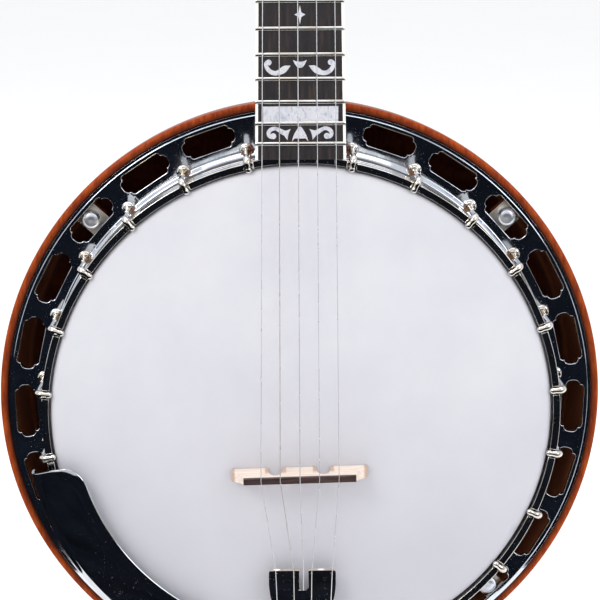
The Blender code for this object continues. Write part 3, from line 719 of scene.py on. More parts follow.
def make_flange():
    """The flange's face is made sector by sector, so that each hole gets a rounded edge."""
    inner, outer = 151.9, 165.9
    lip = 0.45

    def face_depth(radius):
        return 37.36 - 0.04 * (radius - 152.0)

    shape = Shape()
    outline = hole_outline()
    wide = offset(outline, lip)
    steps = 12
    angles = []
    for gap in range(HOOK_COUNT - 1):
        start = hook_angle(gap)
        angles += [start + HOOK_PITCH * i / steps for i in range(steps)]
        middle = gap_angle(gap)
        half = HOOK_PITCH / 2

        def flat(radius, angle):
            return HOLE_CENTRE * (angle - middle), radius - HOLE_CENTRE

        def lift(point, depth):
            return polar(HOLE_CENTRE + point[1], middle + point[0] / HOLE_CENTRE, depth)

        columns = [middle + angle for angle in spread(-half, half, steps + 1)]
        border = [flat(inner, angle) for angle in columns]
        border += [flat(radius, columns[-1]) for radius in spread(inner, outer, 6)[1:-1]]
        border += [flat(outer, angle) for angle in columns[::-1]]
        border += [flat(radius, columns[0]) for radius in spread(inner, outer, 6)[-2:0:-1]]
        holed = gap != HOOK_COUNT // 2 - 1
        points, faces = fill([border], [wide] if holed else [])
        shape.add([lift(p, face_depth(HOLE_CENTRE + p[1])) for p in points], faces)
        shape.add([lift(p, 39.45) for p in points], faces)
        if not holed:
            continue
        rings = []
        for a in spread(0.0, pi / 2, 4):
            moved = offset(outline, lip * (1 - sin(a)))
            sink = lip * (1 - cos(a))
            rings.append([lift(p, face_depth(HOLE_CENTRE + p[1]) + sink) for p in moved])
        rings.append([lift(p, 39.45) for p in outline])
        rings.append([lift(p, 39.45) for p in wide])
        shape.loft(rings, capped=False)
    top_gap = spread(-FIRST_HOOK, FIRST_HOOK, 19)
    for depth_of in (face_depth, lambda radius: 39.45):
        radii = spread(inner, outer, 6)
        grid = [polar(radius, angle, depth_of(radius)) for angle in top_gap for radius in radii]
        faces = [
            (i * 6 + k, i * 6 + k + 1, i * 6 + k + 7, i * 6 + k + 6) for i in range(18) for k in range(5)
        ]
        shape.add(grid, faces)
    angles += [2 * pi + angle for angle in top_gap[:-1]]
    shoulder = [(inner, 39.45), (151.4, 46.0, 0.3), (137.8, 46.0, 0.3), (137.8, 39.0, 0.2)]
    shoulder += [(140.1, 39.0, 0.2), (140.1, 35.2, 0.2), (145.0, 35.2, 0.4), (146.0, 36.0, 0.4)]
    shoulder += [(147.2, 37.35, 0.5), (inner, face_depth(inner))]
    rim = [(outer, face_depth(outer)), (166.9, face_depth(166.9), 0.3), (167.1, 37.25, 0.1)]
    rim += [(168.7, 37.3, 0.05), (168.7, 41.5, 0.3), (outer, 41.5, 0.2), (outer, 39.45)]
    for section in (soften(shoulder, 0.3, 4, closed=False), soften(rim, 0.3, 4, closed=False)):
        size = len(section)
        points = [polar(radius, angle, depth) for angle in angles for radius, depth in section]
        faces = []
        for i in range(len(angles)):
            j = (i + 1) % len(angles)
            for k in range(size - 1):
                faces.append((i * size + k, i * size + k + 1, j * size + k + 1, j * size + k))
        shape.add(points, faces)
    show("flange", shape, looks["flange"], POT, "nickel_plate", ["flange"], weighted=True, sharp=40)


def screw_angles():
    return [side * gap_angle(index) for side in (1, -1) for index in SCREW_GAPS]


def make_flange_brackets():
    """The L-shaped tabs on the flange's back that take the thumbscrews."""
    shape = Shape()
    outline = soften([(-6.8, -7.6), (6.8, -7.6), (6.8, 5.6), (-6.8, 5.6)], 1.2)
    lip = soften([(-6.4, 39.6), (6.4, 39.6), (6.4, 43.4), (-6.4, 43.4)], 0.3)
    for angle in screw_angles():
        shape.slab(outline, 43.0, 44.4, 0.4, around(SCREW_RADIUS, angle))
        upright = Matrix.Rotation(pi / 2, 4, "X")
        shape.slab([(x, -y) for x, y in lip], 7.2, 8.4, 0.3, around(SCREW_RADIUS, angle) @ upright)
    show("flange_brackets", shape, looks["satin"], POT, "nickel_plate", weighted=True)


def make_hooks():
    """Round hooks with a bead at the tip, each drawn down by a long nut behind the flange."""
    rod = 1.85
    path = [((0, 45.0, 0), rod), ((0, 3.2, 0), rod)]
    path += [
        ((0, 2.3 - 2.9 * sin(a), -2.9 * (1 - cos(a))), rod + 0.2 * sin(2 * a)) for a in spread(0.2, pi / 2, 7)
    ]
    path += [
        ((0, -0.62, -3.6), 1.7), ((0, -0.6, -4.5), 1.62), ((0, -0.55, -5.3), 1.8),
        ((0, -0.45, -6.0), 2.02)
    ]
    shape = Shape().rod(path, 16)
    nut = soften([(0, 60.6), (1.6, 60.6), (3.7, 58.6), (3.7, 46.9), (3.1, 46.3), (0, 46.3)], 0.5)
    shape.turn([(max(r, 0), d) for r, d in nut], 6)
    boss = soften(
        [
            (rod + 0.05, 36.0), (2.9, 35.4, 0.4), (3.9, 35.9, 0.6), (4.3, 37.4, 0.3), (4.3, 38.4),
            (rod + 0.05, 38.4)
        ],
        0.0
    )
    bosses = Shape()
    for i in range(HOOK_COUNT):
        bosses.turn(boss, 24, around(HOOK_RADIUS, hook_angle(i)))
    show("flange_bosses", bosses, looks["nickel"], POT, "nickel_plate", sharp=50)
    for i in range(HOOK_COUNT):
        angle = hook_angle(i)
        place = POT @ Matrix.Translation(polar(HOOK_RADIUS, angle) * MM) @ Matrix.Rotation(angle, 4, "Y")
        name = f"bracket_hook_{i + 1:02d}"
        show(f"{name}_fine", shape, looks["nickel"], place, "nickel_plate", [name], sharp=50)


def make_resonator():
    """The bowl, with its side drawn in towards the back, and its lugs for the thumbscrews."""
    back = [
        (150.0, 100.4), (125.0, 102.9), (100.0, 105.0), (75.0, 106.3), (50.0, 107.1), (25.0, 107.5),
        (0, 107.6)
    ]
    outline = [
        (169.2, 42.0, 0.2), (169.2, 38.4, 0.5), (170.2, 37.65, 0.6), (172.5, 37.6, 0.9),
        (173.55, 38.6, 0.9), (173.5, 43.0, 2.5), (173.3, 48.0, 4.0), (172.2, 62.0, 6.0),
        (170.4, 76.0, 6.0), (168.0, 89.0, 4.0), (165.0, 97.0, 4.0),
        *back,
        (0, 101.6), (50.0, 101.0), (100.0, 99.0), (150.0, 94.6, 3.0), (159.0, 91.5, 3.0),
        (162.8, 86.0, 3.0), (165.4, 66.0, 5.0), (166.2, 42.2, 0.2),
    ]
    shape = Shape().turn(soften(outline, 0.3), 240)
    cutters = [(neck_shape(0.5, 1.4), NECK, "DIFFERENCE")]
    lug = soften([(-6.8, -5.0), (6.8, -5.0), (6.8, 9.0), (-6.8, 9.0)], 1.0)
    lugs = Shape()
    for angle in screw_angles():
        lugs.slab(lug, 45.5, 52.0, 0.6, around(SCREW_RADIUS, angle))
    drill = Shape()
    for angle in screw_angles():
        drill.turn([(0, 40), (2.2, 40), (2.2, 60), (0, 60)], 20, around(SCREW_RADIUS, angle))
    cutters += [(lugs, POT, "UNION"), (drill, POT, "DIFFERENCE")]
    look = looks["resonator"]
    show("resonator_shell", shape, look, POT, "resonator_wood", ["resonator"], cutters=cutters, sharp=40)

    inlay = [(126.0, 102.82), (127.4, 102.68), (127.4, 102.4), (126.0, 102.5)]
    show("resonator_back_ring", Shape().turn(inlay, 192), looks["binding"], POT, "pearl_button")


def make_thumbscrews():
    """Knurled heads with a turned face: two rings and a dished middle."""
    head = [
        (0, 0.16), (1.2, 0.14), (3.5, 0.1), (3.7, 0.3), (4.0, 0.3), (4.2, 0.08), (4.95, 0.05),
        (5.2, 0.3), (5.2, 5.5), (4.9, 6.0), (1.9, 6.1), (1.9, 17.0), (1.5, 17.4), (0, 17.4),
    ]
    shape = Shape().turn(head, 96, knurl=0.3, teeth=24)
    for k in range(1, 5):
        joint = JOINTS[f"thumbscrew_{k}_turn"]
        place = Matrix.Translation(Vector(joint["pos_m"]))
        name = f"resonator_thumbscrew_{k}"
        show(f"{name}_fine", shape, looks["screw"], place, "nickel_plate", [name], body=name, sharp=50)


# The tailpiece, the armrest and the bridge.


def strap_rings(stations, thickness, corner=0.3):
    """Sections of a bent flat bar. Stations are (radius, depth, half width)."""
    centres = [Vector((0, depth, radius)) for radius, depth, _ in stations]
    rings = []
    for i, (_, _, half) in enumerate(stations):
        along = centres[min(i + 1, len(centres) - 1)] - centres[max(i - 1, 0)]
        normal = along.normalized().cross(Vector((1, 0, 0)))
        section = soften(
            [
                (-half, -thickness / 2), (half, -thickness / 2), (half, thickness / 2),
                (-half, thickness / 2),
            ],
            corner,
            2,
        )
        rings.append([centres[i] + Vector((x, 0, 0)) + normal * y for x, y in section])
    return rings


def make_tailpiece():
    stations = [
        (88.6, -8.0, 18.2), (88.9, -8.5, 18.8), (90.0, -8.8, 19.1), (97.0, -8.95, 19.1),
        (104.0, -8.95, 18.5), (112.0, -8.85, 16.6), (120.0, -8.6, 13.8), (128.0, -8.2, 11.6),
        (136.0, -7.4, 10.2), (144.0, -6.4, 9.5), (148.5, -5.6, 9.1), (151.2, -4.0, 9.0),
        (152.6, -1.2, 9.0), (152.6, 10.0, 9.0), (152.6, 19.0, 9.0), (152.6, 27.0, 9.0),
        (151.9, 29.6, 9.0), (150.4, 31.7, 9.0), (148.4, 32.6, 9.0), (143.6, 32.8, 8.6),
    ]
    turned = POT @ Matrix.Rotation(pi, 4, "Y")
    shape = Shape().loft(strap_rings(stations, 1.6, 0.5))
    # Local X is mirrored here. The front edge is split between the third and the second string.
    notch = soften([(-3.5, 80.0), (1.8, 80.0), (1.8, 99.0), (-0.85, 101.0), (-3.5, 99.0)], 0.8)
    slots = Shape().slab(notch, -14.0, -4.0)
    for x in TAIL_X:
        slots.slab(
            [
                (-x * 0.97 - 0.5, 80.0), (-x * 0.97 + 0.5, 80.0), (-x * 0.97 + 0.5, 90.2),
                (-x * 0.97 - 0.5, 90.2)
            ],
            -14.0, -9.2
        )
    look = looks["nickel"]
    show(
        "tailpiece_plate", shape, look, turned, "nickel_plate", ["tailpiece"],
        cutters=[(slots, turned, "DIFFERENCE")], weighted=True
    )

    fittings = Shape()
    for x in TAIL_X:
        pin = [(0, -13.6), (1.5, -13.4), (1.8, -12.9), (1.2, -12.3), (1.2, -8.6), (0, -8.6)]
        fittings.turn(pin, 20, Matrix.Translation((-x * 0.92, 0, 122.6)))
    bolt = [
        (0, 30.5), (3.4, 30.7), (4.0, 31.3), (4.0, 32.4), (2.0, 32.4), (2.0, 46.3), (3.9, 46.4),
        (3.9, 55.4), (3.3, 56.0), (0, 56.0)
    ]
    fittings.turn(bolt, 24, Matrix.Translation((0, 0, HOOK_RADIUS)))
    rib = [
        (100.0, -10.1, 2.2), (110.0, -10.1, 2.6), (120.0, -9.9, 2.6), (134.0, -8.9, 2.4),
        (146.0, -7.1, 1.8)
    ]
    fittings.loft(strap_rings(curve_through(rib, 4), 1.1, 0.5))
    show("tailpiece_fittings", fittings, look, turned, "nickel_plate", sharp=50)


def make_armrest():
    """A plate arched over the hoop. Its ends are rounded, and two clamps hold the hoop."""
    first, last = radians(-101.5), radians(-161.5)
    section = [
        (155.2, 0.5), (155.15, -2.2), (155.0, -5.0), (154.2, -7.6), (152.4, -9.1), (149.6, -9.6),
        (138.0, -9.7), (131.0, -9.3), (127.2, -8.6),
    ]
    section = curve_through(section, 4)
    thickness = 1.5
    rings = []
    places = [0.0, 0.004, 0.01, 0.018, 0.028, 0.04, 0.055, 0.075, 0.1, 0.13, 0.17]
    places += spread(0.22, 0.78, 15) + [1 - share for share in places[::-1]]
    for share in places:
        near = min(min(share, 1 - share) / 0.107, 1.0)
        width = 1.0 - 0.526 * (1.0 - sqrt(near * (2 - near)))
        rim = min(near / 0.05, 1.0)
        thin = thickness * (0.7 + 0.3 * sqrt(rim * (2 - rim)))
        angle = first + (last - first) * share
        upper, lower = [], []
        for radius, depth in section:
            inwards = 150.0 + (radius - 150.0) * width if radius < 150.0 else radius
            height = min(depth, 0.5) + (thickness - thin) / 2
            upper.append(polar(inwards, angle, height))
            lower.append(polar(inwards - (1.3 if radius > 152.5 else 0), angle, height + thin))
        bevel = [
            upper[-1] + polar(-reach, angle, sink) for reach,
            sink in ((0.3, 0.1), (0.6, 0.4), (0.7, 0.75))
        ]
        foot = (upper[0] + lower[0]) / 2 + polar(0, angle, 0.35)
        rings.append([foot, *upper, *bevel, *lower[::-1]])
    shape = Shape().loft(rings)
    show("armrest_plate", shape, looks["armrest"], POT, "nickel_plate", ["armrest"], sharp=50, weighted=True)

    clamps = Shape()
    for index in (7, 9):
        place = around(0, -gap_angle(index))
        bar = [
            (153.0, -6.0, 4.0), (153.0, 4.0, 4.0), (153.0, 12.5, 4.0), (152.4, 14.6, 4.0),
            (150.8, 15.6, 4.0), (145.4, 15.7, 4.0)
        ]
        clamps.loft(strap_rings(bar, 1.5), place)
        wheel = soften([(0, -4.4), (3.2, -4.4), (3.2, -1.8), (0, -1.8)], 0.3)
        sideways = Matrix.Translation((0, 6.0, 153.4)) @ Matrix.Rotation(pi / 2, 4, "X")
        clamps.turn([(max(r, 0), d) for r, d in wheel], 48, place @ sideways, 0.3, 16)
    show("armrest_clamps", clamps, looks["nickel"], POT, "nickel_plate", sharp=50)


def make_bridge():
    """Maple feet and arches under a dark cap with a slot for each string."""
    arches = []
    for middle in (-13.5, 13.5):
        arches.append([(middle + 4.1 * cos(a), 11.6 * sin(a) ** 0.6) for a in spread(0.0, pi, 21)])
    right = soften([(38.6, 0), (38.6, 3.2, 1.4), (33.2, 9.6, 2.0), (31.6, 13.9)], 0.2, closed=False)
    under = arches[0][::-1] + arches[1][::-1]
    outline = under + right + [(-x, h) for x, h in right[::-1]]

    def half_thickness(height):
        return 3.35 - 0.1 * height

    def profile(points):
        """Sections from one flank to the other, with a small round on each edge."""
        rings = []
        for side, shrink, back in ((-1, 0.1, 0.0), (-1, 0.0, 0.12), (1, 0.0, 0.12), (1, 0.1, 0.0)):
            drawn = offset(points, -shrink) if shrink else points
            rings.append([Vector((x, -h, side * (half_thickness(h) - back))) for x, h in drawn])
        return rings

    show("bridge_maple", Shape().loft(profile(outline)), looks["maple"], BRIDGE, "bridge_wood", ["bridge"])
    cap = [(-31.6, 13.9), (31.6, 13.9), (31.6, 15.6), (31.3, 15.95), (-31.3, 15.95), (-31.6, 15.6)]
    slots = Shape()
    for x in BRIDGE_STRING_X:
        place = x - BRIDGE_MIDDLE.x * TO_MM
        slots.add(
            [(place - 0.5, -16.4, -5), (place + 0.5, -16.4, -5), (place, -15.3, -5)]
            + [(place - 0.5, -16.4, 5), (place + 0.5, -16.4, 5), (place, -15.3, 5)],
            [(0, 1, 2), (3, 5, 4), (0, 3, 4, 1), (1, 4, 5, 2), (2, 5, 3, 0)],
        )
    shape = Shape().loft(profile(cap))
    show(
        "bridge_cap", shape, looks["ebony"], BRIDGE, "fretboard_wood",
        cutters=[(slots, BRIDGE, "DIFFERENCE")]
    )


# The neck.


def treble_edge(s):
    return 19.7 + 0.0113 * s


def bass_edge(s, start, end):
    """The bass side steps out for the fifth string between start and end."""
    inner = -12.1 - 0.0113 * s
    outer = -19.1 - 0.01135 * s
    return inner + (outer - inner) * smoothstep(s, start, end)


def board_edge(s):
    return bass_edge(s, 149.0, 162.0)


def neck_shape(side_gap=0.0, back_gap=0.0):
    """The neck's shaft and heel, grown by two gaps when it serves as a cutter."""
    stations = [
        (-22.0, 9.5, 0.84), (-10.0, 13.0, 0.97), (0.0, 14.3, 1.0), (60.0, 14.8, 1.0), (118.0, 15.4, 1.0),
        (142.0, 15.8, 1.0), (300.0, 17.5, 1.0), (425.0, 19.8, 1.0), (441.0, 22.5, 1.0),
        (450.0, 28.5, 0.99), (456.0, 37.5, 0.96), (461.0, 48.0, 0.93), (468.0, 57.0, 0.9),
        (480.0, 60.0, 0.88), (505.0, 60.0, 0.88),
    ]
    places = spread(-22, 0, 8) + spread(12, 96, 8) + spread(104, 156, 14) + spread(176, 420, 12)
    places += spread(428, 484, 24) + [505.0]
    top = BOARD_THICKNESS + 0.3
    rings = []
    for s in places:
        window = 3.0 if -16 < s < 490 else 0.0
        near = [interpolate(stations, s + shift) for shift in spread(-window, window, 5)]
        thickness, share = (sum(values) / 5 for values in zip(*near))
        right = treble_edge(s) + side_gap
        left = bass_edge(s, 108.0, 146.0) - side_gap
        middle = (right + left) / 2
        half = (right - left) / 2 * share
        deep = thickness + back_gap
        heel = smoothstep(thickness, 22.0, 34.0)
        power = 0.62 + 0.23 * heel
        front = top - (12.0 if back_gap else 0.0)
        section = [Vector((middle + half, front, -s)), Vector((middle - half, front, -s))]
        for a in spread(0.0, pi, 25):
            bulge = max(sin(a), 0.0) ** power
            narrow = 1.0 - 0.45 * bulge * heel
            section.append(
                Vector((middle - half * cos(a) * narrow, top + 1.0 + (deep - 1.0) * bulge, -s))
            )
        rings.append(section)
    return Shape().loft(rings)


def peghead_outline():
    half = [
        (17.0, -2.0, 0.0), (17.6, 8.0, 4.0), (23.0, 17.0, 4.0), (30.0, 27.0, 4.0), (33.0, 40.0, 6.0),
        (32.6, 60.0, 9.0), (33.6, 80.0, 9.0), (37.0, 100.0, 8.0), (39.0, 116.0, 6.0), (37.6, 132.0, 5.0),
        (30.0, 143.0, 4.0), (18.0, 149.0, 4.0), (0.0, 152.0, 4.0),
    ]
    whole = half + [(-x, u, c) for x, u, c in half[-2::-1]]
    return soften(whole, 4.0, 4)


def make_neck():
    outline = peghead_outline()
    board = Shape().slab(outline, 0.0, PEGHEAD_THICKNESS, 0.9)
    bores = Shape()
    for x, u in PEG_PLACES:
        bores.turn([(0, -5), (4.9, -5), (4.9, 30), (0, 30)], 32, Matrix.Translation((x, 0, u)))
    socket = Shape().turn([(0, 9.6), (3.8, 9.6), (3.8, 32), (0, 32)], 24)
    clearance = [
        (0, -30.0), (146.4, -30.0), (146.4, 15.4), (140.1, 15.4), (140.1, 33.4), (146.8, 33.4),
        (149.2, 34.8), (151.0, 35.8), (153.0, 36.2), (169.2, 36.2), (169.2, 46.6), (138.0, 46.6),
        (138.0, 90.0), (0, 90.0),
    ]
    fifth = NECK @ Matrix.Translation(Vector((0, FIFTH_PEG_DEPTH, -FIFTH_PEG_S)) * MM) @ Matrix.Rotation(
        pi / 2, 4, "Z"
    )
    cutters = [
        (board, PEGHEAD, "UNION"),
        (bores, PEGHEAD, "DIFFERENCE"),
        (socket, fifth, "DIFFERENCE"),
        (Shape().turn(clearance, 192), POT, "DIFFERENCE"),
    ]
    show("neck_shaft", neck_shape(), looks["neck"], NECK, "neck_wood", ["neck"], cutters=cutters, sharp=40)

    top = [(x, u) for x, u in outline if u > -1.9]
    top = [(17.0, -2.6)] + top + [(-17.0, -2.6)]
    veneer = Shape().slab(offset(top, -1.7), -0.28, 0.4)
    show("peghead_veneer", veneer, looks["veneer"], PEGHEAD, "fretboard_wood")
    edge = fill([offset(top, 0.06)], [offset(top, -1.68)])
    band = Shape().plate(edge, -0.28, 2.2)
    show("peghead_binding", band, looks["binding"], PEGHEAD, "pearl_button")

    cover = curve_through([(4.0, 9.5), (7.0, 13.0), (8.2, 20.0), (6.6, 28.0), (3.4, 34.0), (0.0, 38.0)], 4)
    cover = cover + [(-x, u) for x, u in cover[-2::-1]]
    show("truss_rod_cover", Shape().slab(cover, -1.7, -0.25, 0.4), looks["veneer"], PEGHEAD, "fretboard_wood")
    screws = Shape()
    for u in (12.5, 32.5):
        head = [(0, -2.1), (1.0, -2.05), (1.4, -1.75), (1.4, -1.5), (0, -1.5)]
        screws.turn(head, 20, Matrix.Translation((0, 0, u)))
    show("truss_rod_cover_screws", screws, looks["nickel"], PEGHEAD, "nickel_plate")

    motif = [scroll_motif(side, 1.35) for side in (1, -1)]
    pieces = [[(x, 66.0 + y * 1.35) for x, y in shape] for shapes in motif for shape in shapes]
    pieces.append([(x * 1.6, 86.0 + y * 1.6) for x, y in diamond()])
    pieces.append([(x * 1.2, 122.0 + y * 1.2) for x, y in diamond()])
    shape = Shape()
    for piece in pieces:
        shape.plate(fill([piece]), -0.36, -0.1)
    show("peghead_inlay", shape, looks["pearl"], PEGHEAD, "pearl_button")


def stroke(path, steps=5):
    """The outline of a brush stroke. The path's points are (x, y, half width)."""
    points = curve_through(path, steps)
    left, right = [], []
    for i, (x, y, half) in enumerate(points):
        before, after = points[max(i - 1, 0)], points[min(i + 1, len(points) - 1)]
        along = Vector((after[0] - before[0], after[1] - before[1])).normalized()
        left.append((x - along.y * half, y + along.x * half))
        right.append((x + along.y * half, y - along.x * half))
    return left + right[::-1]


def disc(x, y, radius, count=20):
    return [(x + radius * cos(a), y + radius * sin(a)) for a in spread(0, 2 * pi, count + 1)[:-1]]


def scroll_motif(side, scale=1.0):
    """A scroll with a ball at its outer end. y runs down the neck from the fret."""
    shapes = [
        stroke(
            [
                (-17.7, 3.6, 0.7), (-18.4, 5.2, 1.0), (-17.4, 7.9, 1.15), (-15.0, 9.8, 1.2),
                (-12.2, 10.0, 1.3), (-9.6, 8.8, 1.7), (-7.6, 7.4, 1.5), (-5.0, 6.1, 0.05),
            ]
        ),
        disc(-16.9, 4.3, 1.6),
    ]
    return [[(-side * x / scale, y) for x, y in shape] for shape in shapes]


def volute_motif(side):
    """A tighter scroll that forks towards the middle."""
    shapes = [
        stroke(
            [
                (-15.3, 8.1, 0.4), (-16.8, 7.0, 0.9), (-17.2, 5.0, 1.1), (-15.9, 3.3, 1.1),
                (-13.6, 2.7, 1.0), (-11.5, 3.6, 1.1), (-9.6, 4.7, 1.3), (-8.0, 5.6, 1.2),
            ]
        ),
        disc(-14.7, 6.9, 1.65),
        soften([
            (-10.2, 3.6), (-8.0, 4.0, 1.0), (-5.1, 3.0, 0.0), (-6.4, 5.6, 1.4), (-6.9, 9.1, 0.0),
            (-8.4, 7.2, 1.2)
        ], 0.6),
    ]
    return [[(-side * x, y) for x, y in shape] for shape in shapes]


def diamond(wide=3.0, tall=4.2):
    corners = [(0, -tall), (wide, 0), (0, tall), (-wide, 0)]
    shape = []
    for (x0, y0), (x1, y1) in zip(corners, corners[1:] + corners[:1]):
        for t in (0.0, 0.25, 0.5, 0.75):
            pinch = 1 - 0.5 * sin(pi * t)
            shape.append(((x0 + (x1 - x0) * t) * pinch, (y0 + (y1 - y0) * t) * pinch))
    return shape


def fret_place(number):
    return SCALE_LENGTH * (1 - 2 ** (-number / 12))


def make_fretboard():
    """The board with a white binding on both edges, wire frets, a bone nut and pearl inlays."""
    places = spread(0, 148, 10) + spread(150, 161, 9) + spread(165, BOARD_END, 12)

    def strip(left_of, right_of, top, low):
        rings = []
        for s in places:
            left, right = left_of(s), right_of(s)
            rings.append(
                [
                    Vector((left, top, -s)), Vector((right, top, -s)), Vector((right, low, -s)),
                    Vector((left, low, -s))
                ]
            )
        return Shape().loft(rings)

    board = strip(lambda s: board_edge(s) + BINDING, lambda s: treble_edge(s) - BINDING, 0.0, BOARD_THICKNESS)
    show("fretboard_wood", board, looks["board"], NECK, "fretboard_wood", ["fretboard"])
    bass = strip(board_edge, lambda s: board_edge(s) + BINDING, -0.02, BOARD_THICKNESS + 0.1)
    treble = strip(lambda s: treble_edge(s) - BINDING, treble_edge, -0.02, BOARD_THICKNESS + 0.1)
    for name, shape in (("bass", bass), ("treble", treble)):
        show(f"fretboard_binding_{name}", shape, looks["binding"], NECK, "pearl_button")

    frets = Shape()
    for number in range(1, FRET_COUNT + 1):
        s = fret_place(number)
        left, right = board_edge(s) - 0.05, treble_edge(s) + 0.05
        crown = [(1.1 * cos(a), -0.12 - (FRET_HEIGHT - 0.14) * sin(a) ** 0.8) for a in spread(0, pi, 11)]
        section = crown + [(-1.1, 0.2), (1.1, 0.2)]
        rings = []
        for x, share in (
            (left, 0.55), (left + 0.5, 0.95), (left + 1.0, 1.0), (right - 1.0, 1.0), (right - 0.5, 0.95),
            (right, 0.55)
        ):
            rings.append([Vector((x, h * share if h < 0 else h, -s + along)) for along, h in section])
        frets.loft(rings)
    show("frets", frets, looks["nickel"], NECK, "nickel_plate", sharp=50)

    nut_low, nut_high = board_edge(0.0), treble_edge(0.0)
    body = soften(
        [
            (-NUT_HEIGHT, 0.15), (-NUT_HEIGHT + 0.25, NUT_LENGTH), (BOARD_THICKNESS, NUT_LENGTH),
            (BOARD_THICKNESS, 0.15)
        ],
        0.35
    )
    rings = [[Vector((x, y, z)) for y, z in body] for x in (nut_low, nut_high)]
    slots = Shape()
    for x, radius in zip(NUT_X[:4], STRING_RADII):
        slots.rod(
            [((x, -NUT_HEIGHT - 0.25, -3), radius + 0.12), ((x, -NUT_HEIGHT - 0.1, 8), radius + 0.12)],
            10, round_ends=False
        )
    show(
        "nut", Shape().loft(rings), looks["binding"], NECK, "pearl_button",
        cutters=[(slots, NECK, "DIFFERENCE")]
    )

    pip = [(0, -2.0), (0.9, -2.0), (1.2, -1.6), (1.2, 1.0), (0, 1.0)]
    shape = Shape().turn(pip, 20, Matrix.Translation((NUT_X[4], 0, -FIFTH_PIP_S)))
    show("fifth_string_pip", shape, looks["binding"], NECK, "pearl_button")
    make_inlays()


def make_inlays():
    inlays = Shape()

    def lay(outlines):
        inlays.plate(fill([[(x, -s) for x, s in outline] for outline in outlines]), -0.05, 0.25)

    start = fret_place(18)
    cup = curve_through(
        [(-3.7, 3.0), (-2.6, 5.2), (-1.2, 6.9), (0.2, 7.2), (1.6, 6.9), (2.9, 5.2), (3.9, 3.0)], 4
    )
    cup += curve_through([(3.9, 3.0), (2.2, 3.7), (0.1, 3.9), (-2.0, 3.7), (-3.7, 3.0)], 3)[1:-1]
    lay([[(x, start + y) for x, y in shape] for shape in scroll_motif(1)])
    lay([[(x, start + y) for x, y in shape] for shape in scroll_motif(-1)])
    lay([[(x, start + y) for x, y in cup]])

    lay([[(-20.2, 459.2), (21.0, 459.2), (20.9, 467.4), (-20.1, 467.4)]])

    start = fret_place(21)
    arch = curve_through(
        [(-4.5, 9.9), (-3.9, 7.6), (-2.5, 4.6), (0.0, 1.6), (2.5, 4.6), (3.9, 7.6), (4.5, 9.9)], 4
    )
    arch += curve_through(
        [(4.5, 9.9), (3.4, 8.6), (2.6, 8.2), (0.0, 8.3), (-2.6, 8.2), (-3.4, 8.6), (-4.5, 9.9)], 3
    )[
        1:-1
    ]
    lay([[(x, start + y) for x, y in shape] for shape in volute_motif(1)])
    lay([[(x, start + y) for x, y in shape] for shape in volute_motif(-1)])
    lay([[(x, start + y) for x, y in arch]])

    for number in (3, 5, 7, 10, 12, 15, 17):
        middle = (fret_place(number - 1) + fret_place(number)) / 2
        centre = (board_edge(middle) + treble_edge(middle)) / 2
        size = min((fret_place(number) - fret_place(number - 1)) / 2 - 2.2, 9.0) / 4.2
        lay([[(centre + x * size * 0.8, middle + y * size) for x, y in diamond()]])
        if number in (7, 12):
            for side in (-1, 1):
                lay([disc(centre + side * 11.0, middle, 1.7)])
    show("fretboard_inlays", inlays, looks["pearl"], NECK, "pearl_button")

    dots = Shape()
    for number in (5, 7, 10, 12, 12, 15, 17):
        s = (fret_place(number - 1) + fret_place(number)) / 2
        dot = [(0, -0.06), (1.0, -0.06), (1.0, 0.4), (0, 0.4)]
        sideways = Matrix.Translation((board_edge(s), 2.6, -s)) @ Matrix.Rotation(-pi / 2, 4, "Z")
        dots.turn(dot, 16, sideways)
    show("side_dots", dots, looks["veneer"], NECK, "fretboard_wood")


# The tuners.


def knob(shape, start):
    """A pearl button: an oval with a waist towards its stem."""
    stations = [
        (8.2, 3.2, 3.0), (8.6, 4.0, 3.4), (9.4, 5.2, 3.8), (10.6, 7.6, 4.2), (12.2, 9.4, 4.5),
        (14.2, 10.3, 4.6), (16.2, 10.4, 4.6), (18.2, 9.8, 4.4), (19.8, 8.5, 4.0), (20.9, 6.6, 3.3),
        (21.6, 4.2, 2.3), (21.85, 1.8, 1.2),
    ]
    rings = []
    for depth, wide, thick in stations:
        angles = [2 * pi * i / 32 for i in range(32)]
        rings.append([Vector((wide * sin(a), start + depth, thick * cos(a))) for a in angles])
    return shape.loft(rings)


